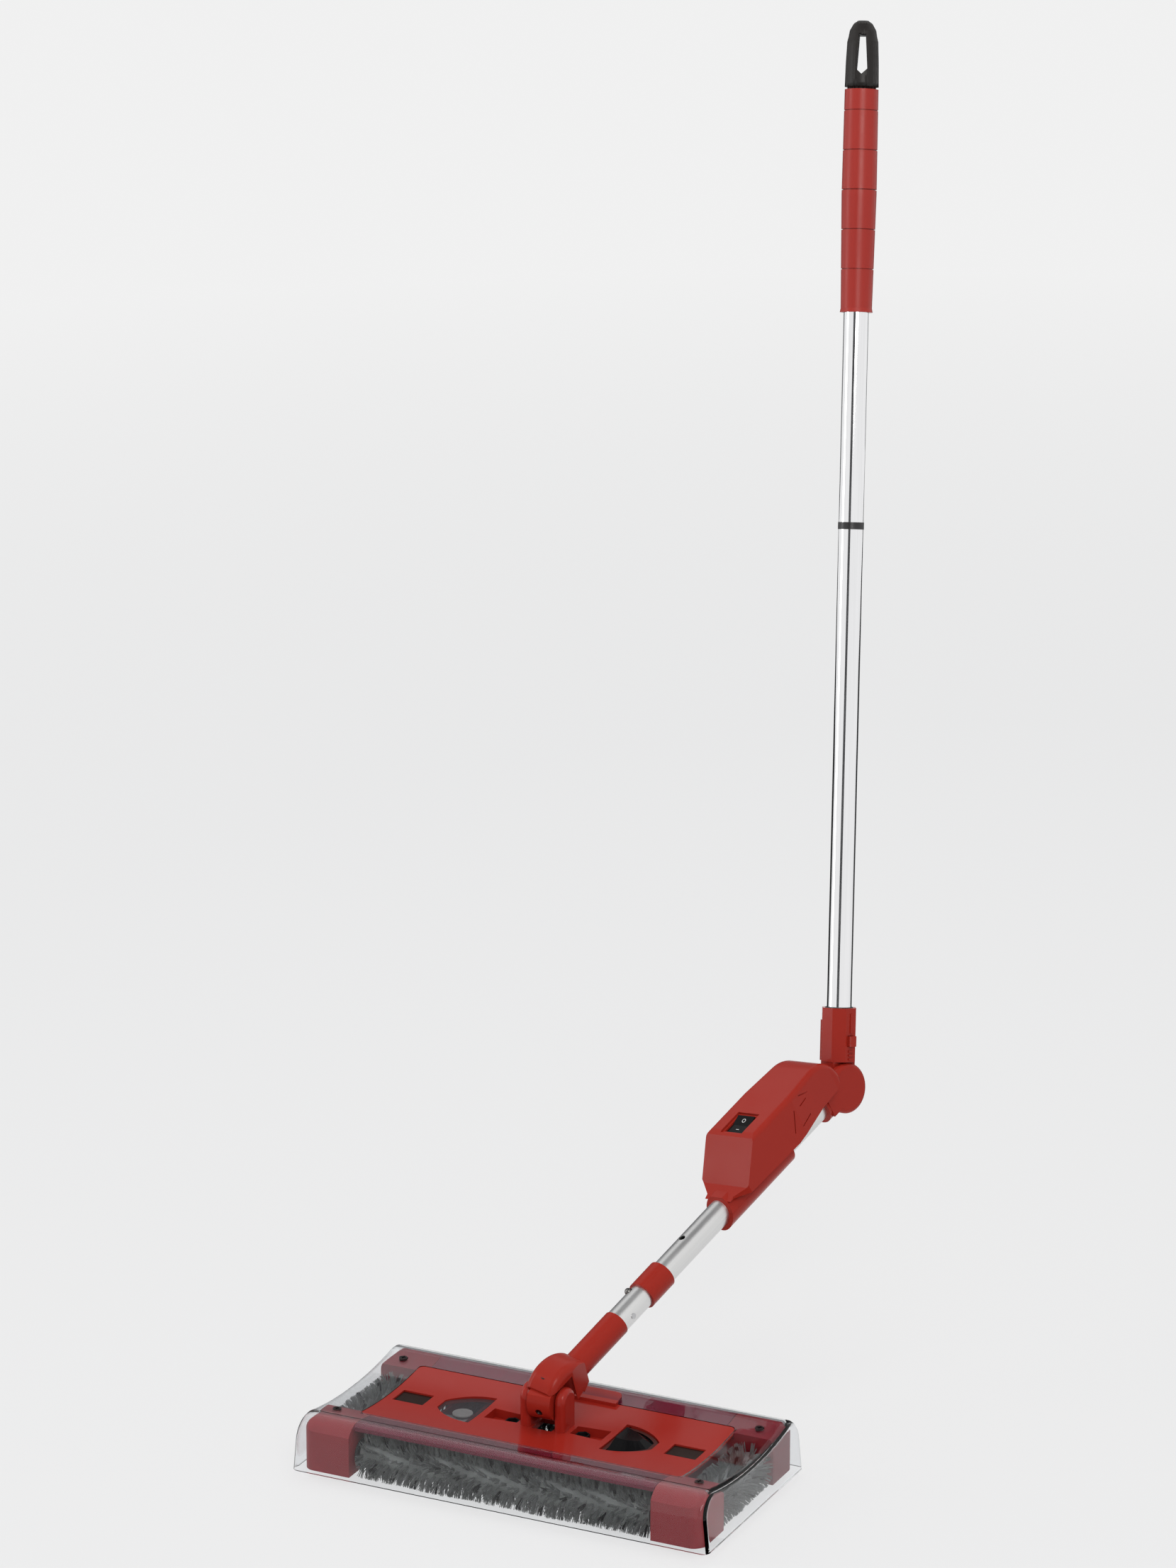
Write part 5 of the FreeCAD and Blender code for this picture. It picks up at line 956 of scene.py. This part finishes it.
# %% Motor plate and the painted shade ring at the socket
PLATE_RADIUS, PLATE_DEPTH = 7.6, 0.9
PLATE_STEPS = ((1.1, 0), (0.4, -0.35), (3.4, 0), (0.3, 0.3))
SHADE_RING_RADIUS, SHADE_RING_WIRE, SOCKET_RIM = 10.15, 0.6, 61.0

deselect_all()
bpy.ops.mesh.primitive_cylinder_add(vertices=48, radius=PLATE_RADIUS * mm, depth=PLATE_DEPTH * mm)
motor_plate = bpy.context.object
inset_top(motor_plate, PLATE_STEPS)
settle(motor_plate, "motor_plate", shift(-69, -1, 36.6), "head", white_print)

# Painted shade: a black ring where the polished tube goes into its socket.
deselect_all()
bpy.ops.mesh.primitive_torus_add(major_radius=SHADE_RING_RADIUS * mm, minor_radius=SHADE_RING_WIRE * mm,
                                 major_segments=48, minor_segments=8, rotation=(math.pi / 2, 0, 0))
settle(bpy.context.object, "socket_shade_ring", UPPER @ shift(0, SOCKET_RIM, 0), "upper_pole", black)

# %% [markdown]
# ### Painted shade in the pockets, and the block's screw
#
# In each of the two pockets beside the joint sits a dark six-sided prism, painted shade for its hole, and a
# dark screw closes the front of the joint block. Both are short prisms whose top is inset and sunk, so one
# function makes them.

# %% Painted shade in the pockets, and the block's screw
HOLE_SHADE = {"sides": 6, "radius": 5.6, "depth": 3.4, "rim": 0.9, "hollow": 2.4}
SCREW = {"sides": 32, "radius": 2.7, "depth": 2.4, "rim": 0.8, "hollow": 1.4}
PRISM_BEVEL = 0.15


def capped_prism(sides, radius, depth, rim, hollow):
    """A short prism along Z whose top is inset and sunk."""
    deselect_all()
    bpy.ops.mesh.primitive_cylinder_add(vertices=sides, radius=radius * mm, depth=depth * mm)
    prism = bpy.context.object
    inset_top(prism, ((rim, 0), (0.25 * rim, -hollow)))
    bevelled(prism, PRISM_BEVEL)
    return prism


# Painted shade: black six-sided prisms that darken the holes in the pockets.
for side, name in ((-1, "left_pocket_hole_shade"), (1, "right_pocket_hole_shade")):
    settle(capped_prism(**HOLE_SHADE), name, shift(side * 28.5, 0, 36.9), "head", black_gloss)
screw_seat = BLOCK @ shift(0, -14.0, 0) @ Matrix.Rotation(math.pi / 2, 4, "X")
settle(capped_prism(**SCREW), "block_screw", screw_seat, "tilt_block", dark_steel)

# %% [markdown]
# ## Hanging cap
#
# The CAD cap is a turned shape with a slot through it. The real one narrows all the way up, like an arch. A
# copy of it is cut into bands along its length, and each band is drawn in, with the slot left as wide as it
# is. How far comes from a short table of heights and factors.

# %% The arch of the cap
CAP_LENGTH, SLOT_HALF, CAP_RADIUS = 50.0 * mm, 4.3 * mm, 12.9 * mm
CAP_TURN = math.radians(41)
BANDS = 16
ARCH = ((0, 1), (0.36, 0.97), (0.586, 0.93), (0.76, 0.9), (0.874, 0.92), (0.943, 0.92), (1, 0.8))


def drawn_in(share):
    """How much of the cap's radius is left at a share of its height."""
    for (low, wide), (high, slim) in zip(ARCH, ARCH[1:]):
        if share <= high:
            return wide + (slim - wide) * max(0, share - low) / (high - low)
    return ARCH[-1][1]


print("left at half height:", round(drawn_in(0.5), 3))

# %% Hanging cap
deselect_all()
cap = bpy.data.objects.new("arched_cap", nodes["hanging_cap"].data.copy())
bpy.context.collection.objects.link(cap)
cap_frame = UPPER @ Matrix.Rotation(CAP_TURN, 4, "Y")
cap.data.transform(cap_frame.inverted())
cap.select_set(True)
bpy.context.view_layer.objects.active = cap
foot = max(vertex.co.y for vertex in cap.data.vertices) - CAP_LENGTH
bpy.ops.object.mode_set(mode="EDIT")
bpy.ops.mesh.select_all(action="SELECT")
bpy.ops.mesh.remove_doubles(threshold=MERGE)
for i in range(1, BANDS):
    bpy.ops.mesh.select_all(action="SELECT")
    bpy.ops.mesh.bisect(plane_co=(0, foot + CAP_LENGTH * i / BANDS, 0), plane_no=(0, 1, 0))
bpy.ops.object.mode_set(mode="OBJECT")
for vertex in cap.data.vertices:
    left = drawn_in((vertex.co.y - foot) / CAP_LENGTH)
    wall = (CAP_RADIUS * left - SLOT_HALF) / (CAP_RADIUS - SLOT_HALF)
    beyond = max(0, abs(vertex.co.x) - SLOT_HALF)
    vertex.co.x = math.copysign(min(abs(vertex.co.x), SLOT_HALF) + beyond * wall, vertex.co.x)
    vertex.co.z *= left
settle(cap, "arched_cap", cap_frame, "upper_pole", cap_grey)
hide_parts("hanging_cap")
print("cap", [round(v / mm, 1) for v in cap.dimensions])
